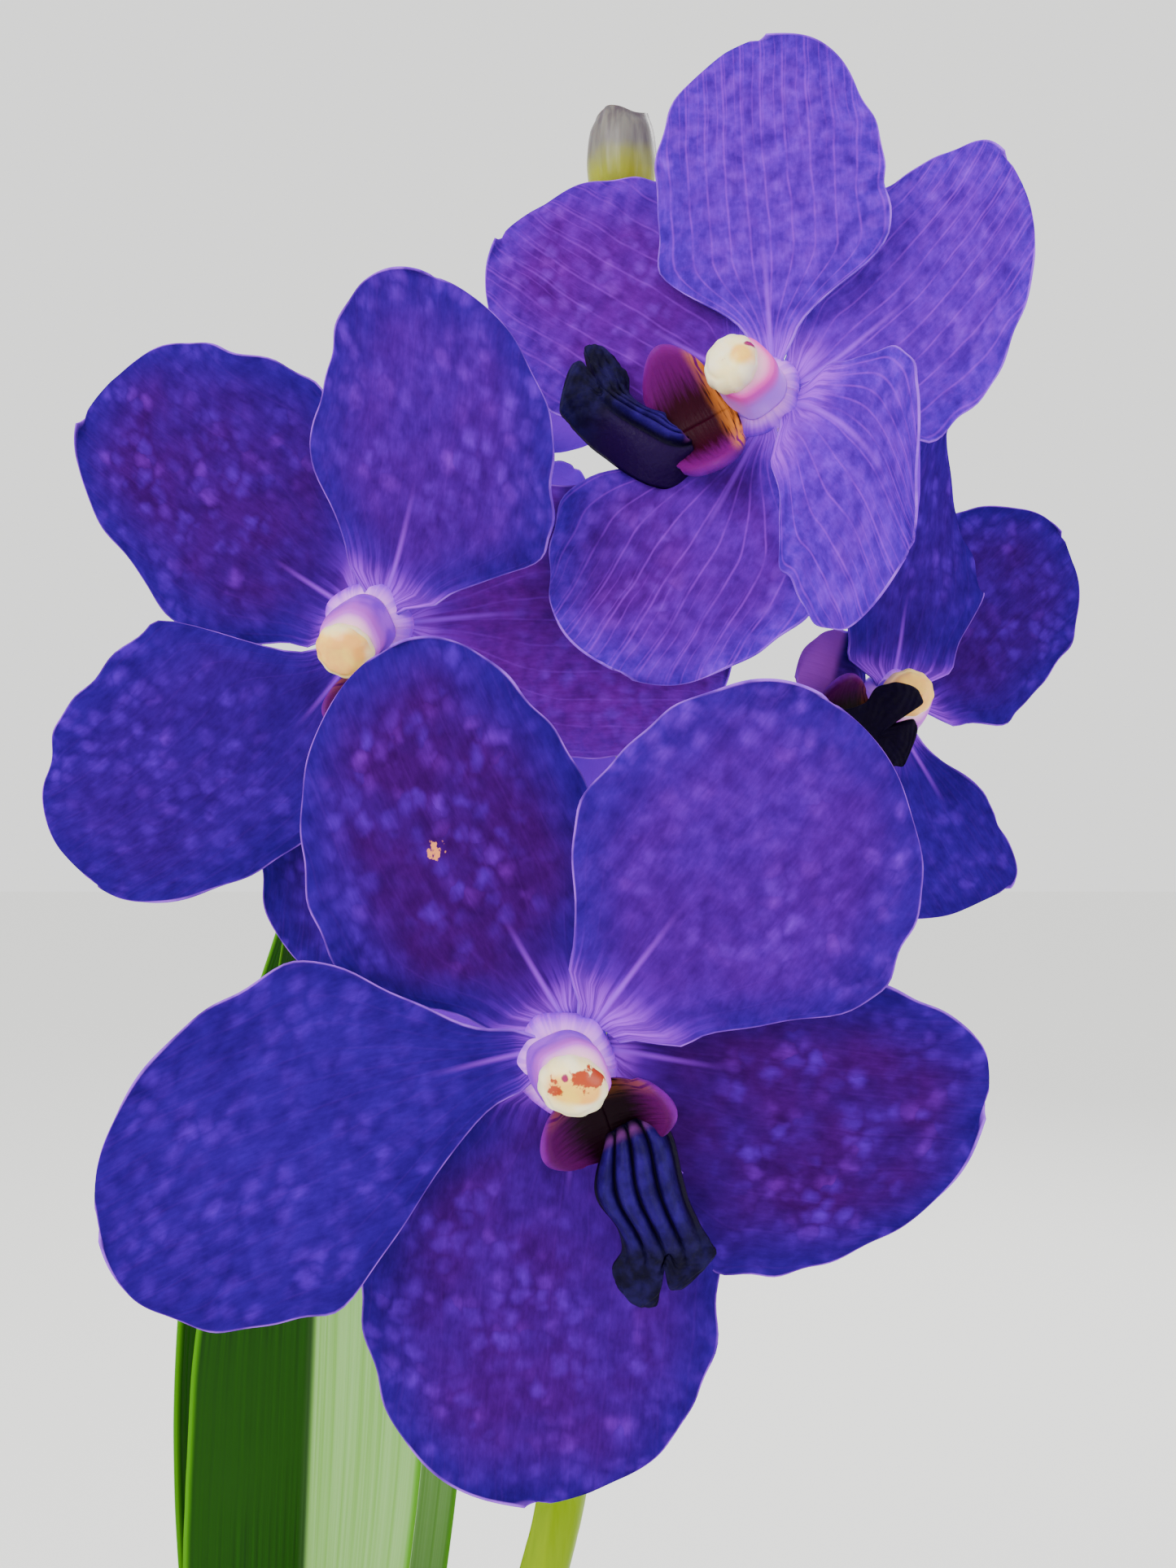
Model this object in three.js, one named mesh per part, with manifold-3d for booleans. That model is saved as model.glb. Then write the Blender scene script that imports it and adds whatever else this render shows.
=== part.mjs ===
// A vanda orchid in flower, its bare roots standing in a plain glass vase.
// Millimetres, +Z up, -Y is the front. The origin is the centre of the vase's foot.

import * as THREE from 'three';
import { mergeVertices } from 'three/addons/utils/BufferGeometryUtils.js';
import Module from 'manifold-3d';

const wasm = await Module();
wasm.setup();

const DEGREE = Math.PI / 180;
const GAP = 0.3;                     // air between neighbouring pieces

// Vase
const VASE_HEIGHT = 180;
const VASE_RADIUS = 55;
const GLASS = 3.5;
const VASE_FLOOR = 10;
const RIM_ROUND = 1.2;
const FOOT_ROUND = 4;
const VASE_SEGMENTS = 32;

// Cane and root crown
const CANE_RADIUS = 7;
const CANE_FOOT = 168;
const CANE_TOP = 234;
const SHEATH_STEP = 11;              // height of each leaf sheath on the cane
const CROWN_FOOT = 112;

// Roots
const ROOT_COUNT = 9;
const ROOT_RADIUS = 2.8;
const ROOT_REACH = 44;               // furthest a root's middle gets from the vase's axis
const ROOT_SIDES = 5;
const ROOT_STEPS = 11;

// Leaves: two ranks, back and front of the cane
const LEAF_HALF_WIDTH = 20;
const LEAF_THICKNESS = 2.2;
const LEAF_COLUMNS = 4;

// compass direction, height of the foot, rise above level, length and how far the tip droops; then the foot's
// distance from the cane's axis and to one side of it, the tip's sideways sway and the blade's turn about its
// midrib
const leaf = (name, azimuth, foot, elevation, length, droop, more = {}) => (
  { name, azimuth, foot, elevation, length, droop, out: 5, aside: 0, sway: 0, turn: 0, ...more });

const LEAVES = [
  leaf('leaf_back_1', 84, 226, 82, 183, 0, { out: -1, aside: -2.4, turn: 45 }),
  leaf('leaf_back_2', 113, 214, 73, 215, 6, { sway: 24 }),
  leaf('leaf_back_3', 87, 202, 63, 235, 16),
  leaf('leaf_back_4', 97, 191, 47, 240, 34),
  leaf('leaf_back_5', 99, 181, 33, 225, 42),
  leaf('leaf_front_1', 276, 188, 45, 215, 40),
  leaf('leaf_front_2', 279, 180, 34, 235, 42),
  leaf('leaf_front_3', 274, 172, 24, 215, 36),
];

// Flower spike
const RACHIS_POINTS = [
  [0, -3, 212], [6, -11, 223], [22, -20, 264], [39, -23, 319], [45, -23, 355], [50, -22, 400], [52, -19, 450],
  [51, -16, 500], [50, -15, 513.5],
];
const RACHIS_RADIUS_LOW = 4.4;
const RACHIS_RADIUS_HIGH = 2;
const RACHIS_STEPS = 16;
const PEDICEL_RADIUS = 1.8;
const PEDICEL_STEPS = 8;
const STALK_SIDES = 7;

// Tepals, in a bloom's own frame: x right, y up, z towards the viewer
const TEPAL_THICKNESS = 0.8;
const TEPAL_ROOT = 3;                // where a claw starts, out from the bloom's middle
const CLAW_END = 0.08;
const TIP_POWER = 2.2;               // superellipse of the rounded end
const TIP_CUT = 0.997;               // the tip stops just short of a point
const EDGE_WAVE = 1.5;
const WAVES = 1.5;
const TEPAL_ROWS = 6;
const TEPAL_COLUMNS = 4;
const HUB_RADIUS = 5;
const HUB_TOP = 2.2;

// angle, length, half widths left and right of the midline, sideways bend, widest point and start of the
// rounded end as shares of the length; then what differs from a plain sepal or petal: how far it lifts, its
// level, its curl, its twist, how far its left side folds up and its claw's width as a share of the blade's
const sepal = (angle, length, left, right, bend = 0, widest = 0.45, rounds = 0.45, more = {}) => (
  {
    angle, length, left, right, bend, widest, rounds,
    lift: -4, level: 0, curl: -2, twist: 0, fold: 0, claw: 0.2, ...more,
  });
const petal = (angle, length, left, right, bend = 0, widest = 0.45, rounds = 0.45, more = {}) => (
  sepal(angle, length, left, right, bend, widest, rounds, { lift: 6, level: 1.2, ...more }));

const BLOOMS = [
  {
    name: 'front', middle: [44, -67, 400.5], yaw: 2, pitch: -6, joins: [47.5, -22.5, 374],
    lip: { angle: -62, knee: [9, 4], tip: [20, -5, 0.7] }, lean: -112,
    tepals: [
      sepal(122.5, 46.5, 19.5, 15.5, -5, 0.37, 0.39), petal(55, 45, 16, 23.5, 0),
      petal(-173.5, 52, 22, 17, 11, 0.56, 0.53, { lift: 10 }), sepal(-12.5, 46.5, 13, 24, 2.5),
      sepal(-94, 53.5, 18.5, 23, 0, 0.38, 0.5, { lift: -2, curl: 0, claw: 0.5 }),
    ],
  },
  {
    name: 'left', middle: [17.5, -42, 450.5], yaw: -14, pitch: -10, joins: [51, -21, 420],
    lip: { angle: -65, knee: [9, 4], tip: [20, -2, 0.7] }, lean: 250,
    tepals: [
      petal(64, 40.5, 15, 19, 8, 0.4),
      sepal(148.5, 48.5, 15.5, 23, -3, 0.41, 0.25, { claw: 0.35 }),
      petal(-128.5, 50, 12, 24, -12, 0.31, 0.46),
      sepal(4, 47, 17, 20, -5, 0.45, 0.5, { lift: -32, curl: 0, claw: 0.35 }),
      sepal(-102, 47.5, 14, 15.5, 1, 0.45, 0.47, { lift: -2 }),
    ],
  },
  {
    name: 'top', middle: [69.5, -40, 481], yaw: -12, pitch: 12, joins: [52, -18.5, 458],
    lip: { angle: 215, knee: [9, 4], tip: [8.5, -18, 0.7] }, lean: 176,
    tepals: [
      petal(95, 47.5, 14, 16.5, -1, 0.35, 0.5),
      sepal(32, 42, 15.5, 17.5, 14, 0.25, 0.25, { lift: -6, claw: 0.3 }),
      petal(-30, 28, 12, 19, -13, 0.5, 0.68, { lift: 26, twist: 12, fold: 60 }),
      sepal(-112, 40, 18.5, 19.5, -3, 0.55, 0.37, { lift: 8 }),
      sepal(147.5, 46.5, 17.5, 20, -3.5, 0.25, 0.25),
    ],
  },
  {
    name: 'right', middle: [90.5, -8, 441.5], yaw: 14, pitch: -4, joins: [50.5, -22, 404],
    lip: { angle: 204, knee: [5, 4], tip: [-7.5, -1, 11] }, lean: 112,
    tepals: [
      sepal(42, 38.5, 18, 16, -1, 0.33, 0.15, { claw: 0.6 }),
      petal(-59, 31.5, 6, 17.5, 3, 0.56, 0.65, { lift: 2, claw: 0.3 }),
      petal(84, 40, 15, 15, 0, 0.45, 0.5, { twist: 55, curl: 0 }),
      sepal(168, 13.5, 6, 9.5, 0, 0.3, 0.9, { lift: 10, curl: 0 }), sepal(246, 38, 16, 15),
    ],
  },
  {
    name: 'back', middle: [24, 10, 481], yaw: -150, pitch: 45, joins: [52, -19.5, 446],
    lip: { angle: -90, knee: [9, 4], tip: [19, 0, 0.7] }, lean: -90,
    tepals: [
      sepal(57, 28, 11, 11), petal(129, 38, 15, 15), petal(-15, 34, 13, 13),
      sepal(-159, 24, 11, 11), sepal(-87, 36, 15, 15),
    ],
  },
  {
    name: 'rear', middle: [51, 8, 404], yaw: 180, pitch: -2, joins: [48.5, -22.5, 386],
    lip: { angle: -86, knee: [9, 4], tip: [19, 0, 0.7] }, lean: -90,
    tepals: [
      sepal(100, 41, 17, 17), petal(44, 41, 18, 18, 4), petal(162, 41, 18, 18, -4),
      sepal(-16, 38, 17, 17), sepal(-140, 43, 19, 19, 3),
    ],
  },
];

// Lip, in the lip's frame: x outwards, y across, z towards the viewer
const LIP_FOOT = 9.4;
const LIP_LEVEL = 4.6;
const LIP_THICKNESS = 1.3;
const KEEL = 0.9;
const LIP_HALF_WIDTHS = [2.6, 3.8, 5, 5, 4.5, 4.6, 5.6, 5.2];
const TIP_NOTCH = 4;
const LOBE_HEIGHT = 6.2;
const LOBE_FLARE = 4.2;
const LOBE_HALF_LENGTH = 3.2;
const LOBE_MIDDLE = 7.2;
const LOBE_THICKNESS = 0.8;

// Column
const COLUMN_HEIGHT = 9.5;
const COLUMN_LEAN = 2.4;
const COLUMN_RADII = [2.8, 3.1, 3.6, 4, 3.7, 2.2];

// Bud
const BUD_HEIGHT = 14;
const BUD_RADIUS = 5;
const BUD_MIDDLE = [50, -15, 521];

const smooth = (x) => {
  const inside = THREE.MathUtils.clamp(x, 0, 1);
  return inside * inside * (3 - 2 * inside);
};

const geometryOf = (positions, triangles) => {
  const geometry = new THREE.BufferGeometry();
  geometry.setAttribute('position', new THREE.Float32BufferAttribute(positions, 3));
  geometry.setIndex(triangles);
  return geometry;
};

// A closed geometry as a solid that can be joined and cut.
const solidOf = (geometry) => {
  const bare = geometry.clone();
  bare.deleteAttribute('normal');
  bare.deleteAttribute('uv');
  const merged = mergeVertices(bare, 1e-4);
  const index = merged.index.array;
  const triangles = [];
  for (let i = 0; i < index.length; i += 3) {
    const [a, b, c] = [index[i], index[i + 1], index[i + 2]];
    if (a !== b && b !== c && c !== a) triangles.push(a, b, c);
  }
  return new wasm.Manifold(new wasm.Mesh({
    numProp: 3,
    vertProperties: new Float32Array(merged.attributes.position.array),
    triVerts: new Uint32Array(triangles),
  }));
};

const geometryFrom = (solid) => {
  const mesh = solid.getMesh();
  return geometryOf(Array.from(mesh.vertProperties), Array.from(mesh.triVerts));
};

const largest = (solid) => solid.decompose().reduce((a, b) => (a.volume() > b.volume() ? a : b));

const join = (geometries) => geometries.map(solidOf).reduce((whole, next) => whole.add(next));

// A thin closed blade on the surface at(s, t), with s along it from 0 to 1 and t across from -1 to 1.
// Both faces are split alike, so a wave in the blade never makes them cross.
const blade = (at, rows, columns, thicknessAt) => {
  const STEP = 1e-3;
  const positions = [];
  const across = columns + 1;
  for (const face of [0.5, -0.5]) {
    rows.forEach((s) => {
      for (let j = 0; j < across; j += 1) {
        const t = -1 + 2 * j / columns;
        const inner = Math.min(s, 1 - 2 * STEP);
        const inward = t > 0 ? -STEP : STEP;
        const along = at(inner + STEP, t).sub(at(inner, t));
        const sideways = at(inner, t + inward).sub(at(inner, t)).multiplyScalar(Math.sign(inward));
        const normal = along.cross(sideways).normalize();
        positions.push(...at(s, t).addScaledVector(normal, face * thicknessAt(s, t)).toArray());
      }
    });
  }
  const triangles = [];
  const back = rows.length * across;
  const quad = (a, b, c, d) => triangles.push(a, b, c, a, c, d);
  for (let i = 0; i < rows.length - 1; i += 1) {
    for (let j = 0; j < columns; j += 1) {
      const a = i * across + j;
      triangles.push(a, a + across, a + across + 1, a, a + across + 1, a + 1);
      triangles.push(back + a, back + a + across + 1, back + a + across);
      triangles.push(back + a, back + a + 1, back + a + across + 1);
    }
    const left = i * across + columns;
    const right = i * across;
    quad(left, left + across, back + left + across, back + left);
    quad(right + across, right, back + right, back + right + across);
  }
  const last = (rows.length - 1) * across;
  for (let j = 0; j < columns; j += 1) {
    quad(j, j + 1, back + j + 1, back + j);
    quad(last + j + 1, last + j, back + last + j, back + last + j + 1);
  }
  return geometryOf(positions, triangles);
};

// A closed body through rings of points, each ring counter-clockwise seen from the next one.
const loft = (rings) => {
  const sides = rings[0].length;
  const positions = rings.flat().flatMap((point) => point.toArray());
  const triangles = [];
  for (let i = 0; i < rings.length - 1; i += 1) {
    for (let k = 0; k < sides; k += 1) {
      const next = (k + 1) % sides;
      const [a, b] = [i * sides + k, i * sides + next];
      triangles.push(a, b, b + sides, a, b + sides, a + sides);
    }
  }
  const capped = [[rings[0], 0, false], [rings.at(-1), (rings.length - 1) * sides, true]];
  capped.forEach(([ring, start, forward]) => {
    const hub = positions.length / 3;
    const middle = ring.reduce((sum, point) => sum.add(point), new THREE.Vector3()).divideScalar(sides);
    positions.push(...middle.toArray());
    for (let k = 0; k < sides; k += 1) {
      const next = (k + 1) % sides;
      triangles.push(hub, start + (forward ? k : next), start + (forward ? next : k));
    }
  });
  return geometryOf(positions, triangles);
};

// A round, tapering tube along a curve.
const taperedTube = (curve, radiusAt, steps, sides) => {
  const frames = curve.computeFrenetFrames(steps, false);
  const rings = [];
  for (let i = 0; i <= steps; i += 1) {
    const middle = curve.getPointAt(i / steps);
    const radius = radiusAt(i / steps);
    rings.push(Array.from({ length: sides }, (_, k) => middle.clone()
      .addScaledVector(frames.normals[i], radius * Math.cos(2 * Math.PI * k / sides))
      .addScaledVector(frames.binormals[i], radius * Math.sin(2 * Math.PI * k / sides))));
  }
  return loft(rings);
};

const latheUpright = (profile, segments) => {
  const points = profile.map(([radius, height]) => new THREE.Vector2(radius, height));
  return new THREE.LatheGeometry(points, segments).rotateX(90 * DEGREE);
};

const curveThrough = (points) => (
  new THREE.CatmullRomCurve3(points.map((point) => new THREE.Vector3(...point))));

const finish = (color, roughness, more = {}) => new THREE.MeshStandardMaterial({ color, roughness, ...more });
const GLASS_FINISH = finish('#dfe8e6', 0.05, { transparent: true, opacity: 0.35 });
const ROOT_FINISH = finish('#a9ad97', 0.8);
const CANE_FINISH = finish('#8a8f4c', 0.7);
const LEAF_FINISH = finish('#3f6b1c', 0.45);
const STEM_FINISH = finish('#a9b93a', 0.5);
const TEPAL_FINISH = finish('#3c1a9a', 0.5);
const LIP_FINISH = finish('#17123f', 0.4);
const LOBE_FINISH = finish('#7d1a86', 0.45);
const COLUMN_FINISH = finish('#efe0b4', 0.45);
const BUD_FINISH = finish('#8e9150', 0.5);

const orchid = new THREE.Group();

const addNode = (parent, name, geometry, material) => {
  const mesh = new THREE.Mesh(geometry, material);
  mesh.name = name;
  parent.add(mesh);
};

// Vase: a straight clear cylinder with a thick floor and a rounded rim.
const makeVase = () => {
  const inner = VASE_RADIUS - GLASS;
  return latheUpright([
    [0, 0], [VASE_RADIUS - FOOT_ROUND, 0], [VASE_RADIUS - RIM_ROUND, RIM_ROUND], [VASE_RADIUS, FOOT_ROUND],
    [VASE_RADIUS, VASE_HEIGHT - RIM_ROUND], [VASE_RADIUS - RIM_ROUND, VASE_HEIGHT],
    [inner + RIM_ROUND, VASE_HEIGHT], [inner, VASE_HEIGHT - RIM_ROUND],
    [inner, VASE_FLOOR + FOOT_ROUND], [inner - FOOT_ROUND, VASE_FLOOR], [0, VASE_FLOOR],
  ], VASE_SEGMENTS);
};

// Root crown with its aerial roots, which drop from it and settle against the glass.
const makeRoots = () => {
  const crown = latheUpright([
    [0, CROWN_FOOT], [3, CROWN_FOOT + 2], [5, 130], [6.5, 148], [CANE_RADIUS, CANE_FOOT - GAP],
    [0, CANE_FOOT - GAP],
  ], 10);
  const corner = 360 / ROOT_SIDES * DEGREE;
  const section = new THREE.Shape(Array.from({ length: ROOT_SIDES }, (_, k) => (
    new THREE.Vector2(ROOT_RADIUS * Math.cos(k * corner), ROOT_RADIUS * Math.sin(k * corner)))));
  const roots = Array.from({ length: ROOT_COUNT }, (_, i) => {
    const turn = i * 360 / ROOT_COUNT;
    const start = 128 + 11 * (i % 4);
    const reach = ROOT_REACH - 5 * ((i * 2) % 3);
    const foot = VASE_FLOOR + ROOT_RADIUS + 2 + 9 * (i % 3);
    const at = (radius, angle, height) => [
      radius * Math.cos(angle * DEGREE), radius * Math.sin(angle * DEGREE), height,
    ];
    const path = curveThrough([
      at(1, turn, start + 2), at(14, turn + 6, start + 2), at(reach - 12, turn + 16, start - 14),
      at(reach, turn + 28, start - 44), at(reach, turn + 52 + 12 * (i % 2), foot + 26),
      at(reach - 4, turn + 92, foot + 4), at(reach - 12, turn + 128, foot),
    ]);
    return new THREE.ExtrudeGeometry(section, { steps: ROOT_STEPS, extrudePath: path, bevelEnabled: false });
  });
  return geometryFrom(join([crown, ...roots]));
};

// Cane: stacked leaf sheaths, each a little wider at its top. grow makes it fatter all over.
const caneProfile = (grow) => {
  const profile = [[0, CANE_FOOT - grow]];
  for (let z = CANE_FOOT; z < CANE_TOP - 1; z += SHEATH_STEP) {
    profile.push([CANE_RADIUS - 0.8 + grow, z - (z === CANE_FOOT ? grow : 0)]);
    profile.push([CANE_RADIUS + grow, z + SHEATH_STEP - 0.6]);
  }
  profile.push([0, CANE_TOP + grow]);
  return profile;
};

// Leaf: a keeled strap, folded at its base and opening towards an unequally notched tip.
const leafPoint = (strap, s, t) => {
  const azimuth = strap.azimuth * DEGREE;
  const elevation = strap.elevation * DEGREE;
  const away = new THREE.Vector3(Math.cos(azimuth), Math.sin(azimuth), 0);
  const up = new THREE.Vector3(0, 0, 1);
  const across = new THREE.Vector3().crossVectors(away, up);
  const inner = new THREE.Vector3().addScaledVector(away, -Math.sin(elevation))
    .addScaledVector(up, Math.cos(elevation));
  const fold = THREE.MathUtils.lerp(62, 20, smooth(s / 0.6)) * DEGREE;
  const opened = THREE.MathUtils.lerp(0.5, 1, smooth(s / 0.3));
  const half = LEAF_HALF_WIDTH * opened * (1 - 0.5 * smooth((s - 0.6) / 0.42));
  const lean = fold - Math.sign(t) * strap.turn * DEGREE * s * s;
  const notch = s ** 14 * (0.035 * (1 - Math.abs(t)) + 0.015 * t);
  const run = strap.length * (s - notch);
  return new THREE.Vector3(0, 0, strap.foot - strap.droop * s * s)
    .addScaledVector(away, strap.out + run * Math.cos(elevation))
    .addScaledVector(up, run * Math.sin(elevation))
    .addScaledVector(across, t * half * Math.cos(lean) + strap.aside + strap.sway * s ** 3)
    .addScaledVector(inner, Math.abs(t) * half * Math.sin(lean));
};

const makeLeaf = (strap, cane) => {
  const rows = [0, 0.1, 0.22, 0.38, 0.56, 0.74, 0.88, 0.96, 1];
  const thickness = (s, t) => LEAF_THICKNESS * (1 - 0.4 * Math.abs(t));
  const strapSolid = solidOf(blade((s, t) => leafPoint(strap, s, t), rows, LEAF_COLUMNS, thickness));
  return geometryFrom(largest(strapSolid.subtract(cane)));
};

// Rachis: a tapering green stem that carries a small bract under every bloom.
// grow makes it fatter, for cutting its room out of its neighbours.
const makeRachis = (grow, bracts) => {
  const radiusAt = (u) => grow + THREE.MathUtils.lerp(RACHIS_RADIUS_LOW, RACHIS_RADIUS_HIGH, u);
  const stem = taperedTube(curveThrough(RACHIS_POINTS), radiusAt, RACHIS_STEPS, STALK_SIDES);
  return join([stem, ...bracts]);
};

const makeBract = (bloom) => {
  const foot = new THREE.Vector3(...bloom.joins).add(new THREE.Vector3(0, 0, -6));
  const away = new THREE.Vector3(...bloom.middle).sub(new THREE.Vector3(...bloom.joins)).setZ(0).normalize();
  const tip = foot.clone().addScaledVector(away, 7).add(new THREE.Vector3(0, 0, 2.5));
  return taperedTube(new THREE.LineCurve3(foot, tip), (u) => 2.2 - 1.8 * u, 2, 5);
};

// Tepal: a clawed, rounded blade with a softly waved edge.
const tepalWidth = (tepal, s) => {
  const rise = tepal.claw + (1 - tepal.claw) * smooth((s - CLAW_END) / (tepal.widest - CLAW_END));
  const ending = THREE.MathUtils.clamp((s - tepal.rounds) / (1 - tepal.rounds), 0, 1);
  return rise * (1 - ending ** TIP_POWER) ** (1 / TIP_POWER);
};

const tepalPoint = (tepal, s, t) => {
  const angle = tepal.angle * DEGREE;
  const outward = new THREE.Vector3(Math.cos(angle), Math.sin(angle), 0);
  const across = new THREE.Vector3(-Math.sin(angle), Math.cos(angle), 0);
  const side = t * (t > 0 ? tepal.left : tepal.right) * tepalWidth(tepal, s);
  const lift = tepal.lift * DEGREE;
  const phase = WAVES * s + tepal.angle / 100 + 0.25 * Math.sign(t);
  const wave = EDGE_WAVE * Math.sin(2 * Math.PI * phase) * Math.abs(t) ** 3 * smooth(s / 0.5);
  const twist = (tepal.twist + (t > 0 ? tepal.fold : 0)) * DEGREE * s;
  return new THREE.Vector3(0, 0, tepal.level + tepal.length * s * Math.sin(lift) + tepal.curl * s * s)
    .addScaledVector(outward, TEPAL_ROOT + tepal.length * s * Math.cos(lift))
    .addScaledVector(across, tepal.bend * s * s + side * Math.cos(twist) - wave * Math.sin(twist))
    .add(new THREE.Vector3(0, 0, side * Math.sin(twist) + wave * Math.cos(twist)));
};

// Rows crowd towards the rounded tip.
const makeTepal = (tepal) => {
  const rows = Array.from({ length: TEPAL_ROWS + 1 }, (_, i) => TIP_CUT * (1 - (1 - i / TEPAL_ROWS) ** 1.6));
  return blade((s, t) => tepalPoint(tepal, s, t), rows, TEPAL_COLUMNS, () => TEPAL_THICKNESS);
};

// The five tepals grow from one hub, and the stalk runs from its back to the rachis.
const makeTepals = (bloom, toBloom, stem) => {
  const hub = latheUpright([
    [0, -5], [2.2, -4.5], [3.4, -2.5], [HUB_RADIUS, -0.6], [HUB_RADIUS, 1], [HUB_RADIUS - 0.8, HUB_TOP],
    [0, HUB_TOP],
  ], 12);
  const root = new THREE.Vector3(...bloom.joins).applyMatrix4(toBloom);
  const stalk = new THREE.CatmullRomCurve3([
    new THREE.Vector3(0, 0, -3), new THREE.Vector3(root.x * 0.08, root.y * 0.08, -10),
    new THREE.Vector3(root.x * 0.55, root.y * 0.5, root.z * 0.62), root,
  ]);
  const radiusAt = (u) => PEDICEL_RADIUS + 0.5 * smooth(1 - u * 1.6);
  const pedicel = taperedTube(stalk, radiusAt, PEDICEL_STEPS, STALK_SIDES);
  return geometryFrom(join([hub, pedicel, ...bloom.tepals.map(makeTepal)]).subtract(stem));
};

// Middle lobe of the lip: four keels above, a flared and notched end. It follows a curve from its foot, bent
// at the knee, and each ring is square to that curve.
const makeLip = (lip) => {
  const foot = new THREE.Vector3(LIP_FOOT, 0, LIP_LEVEL);
  const knee = new THREE.Vector3(lip.knee[0], 0, lip.knee[1]).add(foot);
  const path = new THREE.QuadraticBezierCurve3(foot, knee, new THREE.Vector3(...lip.tip).add(foot));
  const shares = [-1, -0.75, -0.5, -0.25, 0, 0.25, 0.5, 0.75, 1];
  const crests = [0, 0.8, 0.1, 1, 0, 1, 0.1, 0.8, 0];
  let sideways = new THREE.Vector3(0, 1, 0);
  const rings = LIP_HALF_WIDTHS.map((half, i) => {
    const u = i / (LIP_HALF_WIDTHS.length - 1);
    const split = smooth((u - 0.6) / 0.4);
    const along = path.getTangent(u);
    sideways = sideways.clone().addScaledVector(along, -sideways.dot(along)).normalize();
    const above = along.clone().cross(sideways);
    const at = (share, rise) => path.getPoint(u)
      .addScaledVector(sideways, half * share)
      .addScaledVector(along, -TIP_NOTCH * split * (1 - Math.abs(share)))
      .addScaledVector(above, rise);
    const top = shares.map((share, k) => at(share, KEEL * crests[k] * (1 - 0.4 * split)));
    const bottom = [0.6, 0, -0.6].map((share) => at(share, -LIP_THICKNESS));
    return [...top, ...bottom];
  });
  return loft(rings.map((ring) => ring.reverse()));
};

// Base of the lip with its two erect, cupped side lobes.
const makeSideLobes = () => {
  const lobe = (side) => blade((s, t) => new THREE.Vector3(
    LOBE_MIDDLE + LOBE_HALF_LENGTH * t + 0.6 * s,
    side * (3.8 + LOBE_FLARE * s * (1 - 0.4 * t * t)),
    2.9 + LOBE_HEIGHT * Math.sqrt(s) * (1 - 0.35 * t * t)), [0, 0.5, 1], 4, () => LOBE_THICKNESS);
  const floor = new THREE.BoxGeometry(5.4, 8, 0.8).translate(6.2, 0, 3);
  return geometryFrom(join([floor, lobe(1), lobe(-1)]));
};

// Column: short and stout, leaning a little towards the lip, with the rounded anther cap at its end.
const makeColumn = () => {
  const rings = COLUMN_RADII.map((radius, i) => {
    const u = i / (COLUMN_RADII.length - 1);
    const height = HUB_TOP + GAP + COLUMN_HEIGHT * Math.sin(u * 90 * DEGREE);
    return Array.from({ length: 9 }, (_, k) => new THREE.Vector3(
      COLUMN_LEAN * u + radius * Math.cos(k * 40 * DEGREE), radius * Math.sin(k * 40 * DEGREE), height));
  });
  return loft(rings);
};

// Bud: three sepals closed over each other, seen as shallow ribs.
const makeBud = () => {
  const rings = [0.3, 0.82, 1, 0.98, 0.88, 0.5].map((share, i, all) => {
    const height = BUD_HEIGHT * (i / (all.length - 1) - 0.5);
    return Array.from({ length: 12 }, (_, k) => {
      const radius = BUD_RADIUS * share * (k % 4 === 0 ? 1 : 0.92);
      const turn = k * 30 * DEGREE;
      return new THREE.Vector3(radius * Math.cos(turn), radius * Math.sin(turn), height);
    });
  });
  return loft(rings).translate(...BUD_MIDDLE);
};

// The whole plant, from the vase up.
addNode(orchid, 'vase', makeVase(), GLASS_FINISH);
addNode(orchid, 'roots', makeRoots(), ROOT_FINISH);
addNode(orchid, 'cane', latheUpright(caneProfile(0), 12), CANE_FINISH);

const caneSpace = solidOf(latheUpright(caneProfile(GAP), 12));
LEAVES.forEach((strap) => addNode(orchid, strap.name, makeLeaf(strap, caneSpace), LEAF_FINISH));

const rachis = makeRachis(0, BLOOMS.map(makeBract)).subtract(caneSpace);
addNode(orchid, 'rachis', geometryFrom(rachis), STEM_FINISH);
addNode(orchid, 'bud', makeBud(), BUD_FINISH);

BLOOMS.forEach((bloom) => {
  const group = new THREE.Group();
  group.position.set(...bloom.middle);
  group.rotation.set((90 - bloom.pitch) * DEGREE, 0, bloom.yaw * DEGREE, 'ZXY');
  group.updateMatrixWorld(true);
  orchid.add(group);
  const toBloom = group.matrixWorld.clone().invert();
  const rachisSpace = solidOf(geometryFrom(makeRachis(GAP, [])).applyMatrix4(toBloom));
  addNode(group, `${bloom.name}_tepals`, makeTepals(bloom, toBloom, rachisSpace), TEPAL_FINISH);

  const lip = new THREE.Group();
  lip.rotation.z = bloom.lip.angle * DEGREE;
  group.add(lip);
  addNode(lip, `${bloom.name}_lip`, makeLip(bloom.lip), LIP_FINISH);
  addNode(lip, `${bloom.name}_side_lobes`, makeSideLobes(), LOBE_FINISH);

  const column = new THREE.Group();
  column.rotation.z = bloom.lean * DEGREE;
  group.add(column);
  addNode(column, `${bloom.name}_column`, makeColumn(), COLUMN_FINISH);
});

export default orchid;
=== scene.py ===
# A vanda orchid in flower, its bare roots standing in a plain glass vase.
# Metres, +Z up, -Y is the front. Plants are measured in millimetres, so their sizes are given as n * MM.

import math

import bmesh
import bpy
import numpy as np
from mathutils import Matrix, Vector


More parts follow.
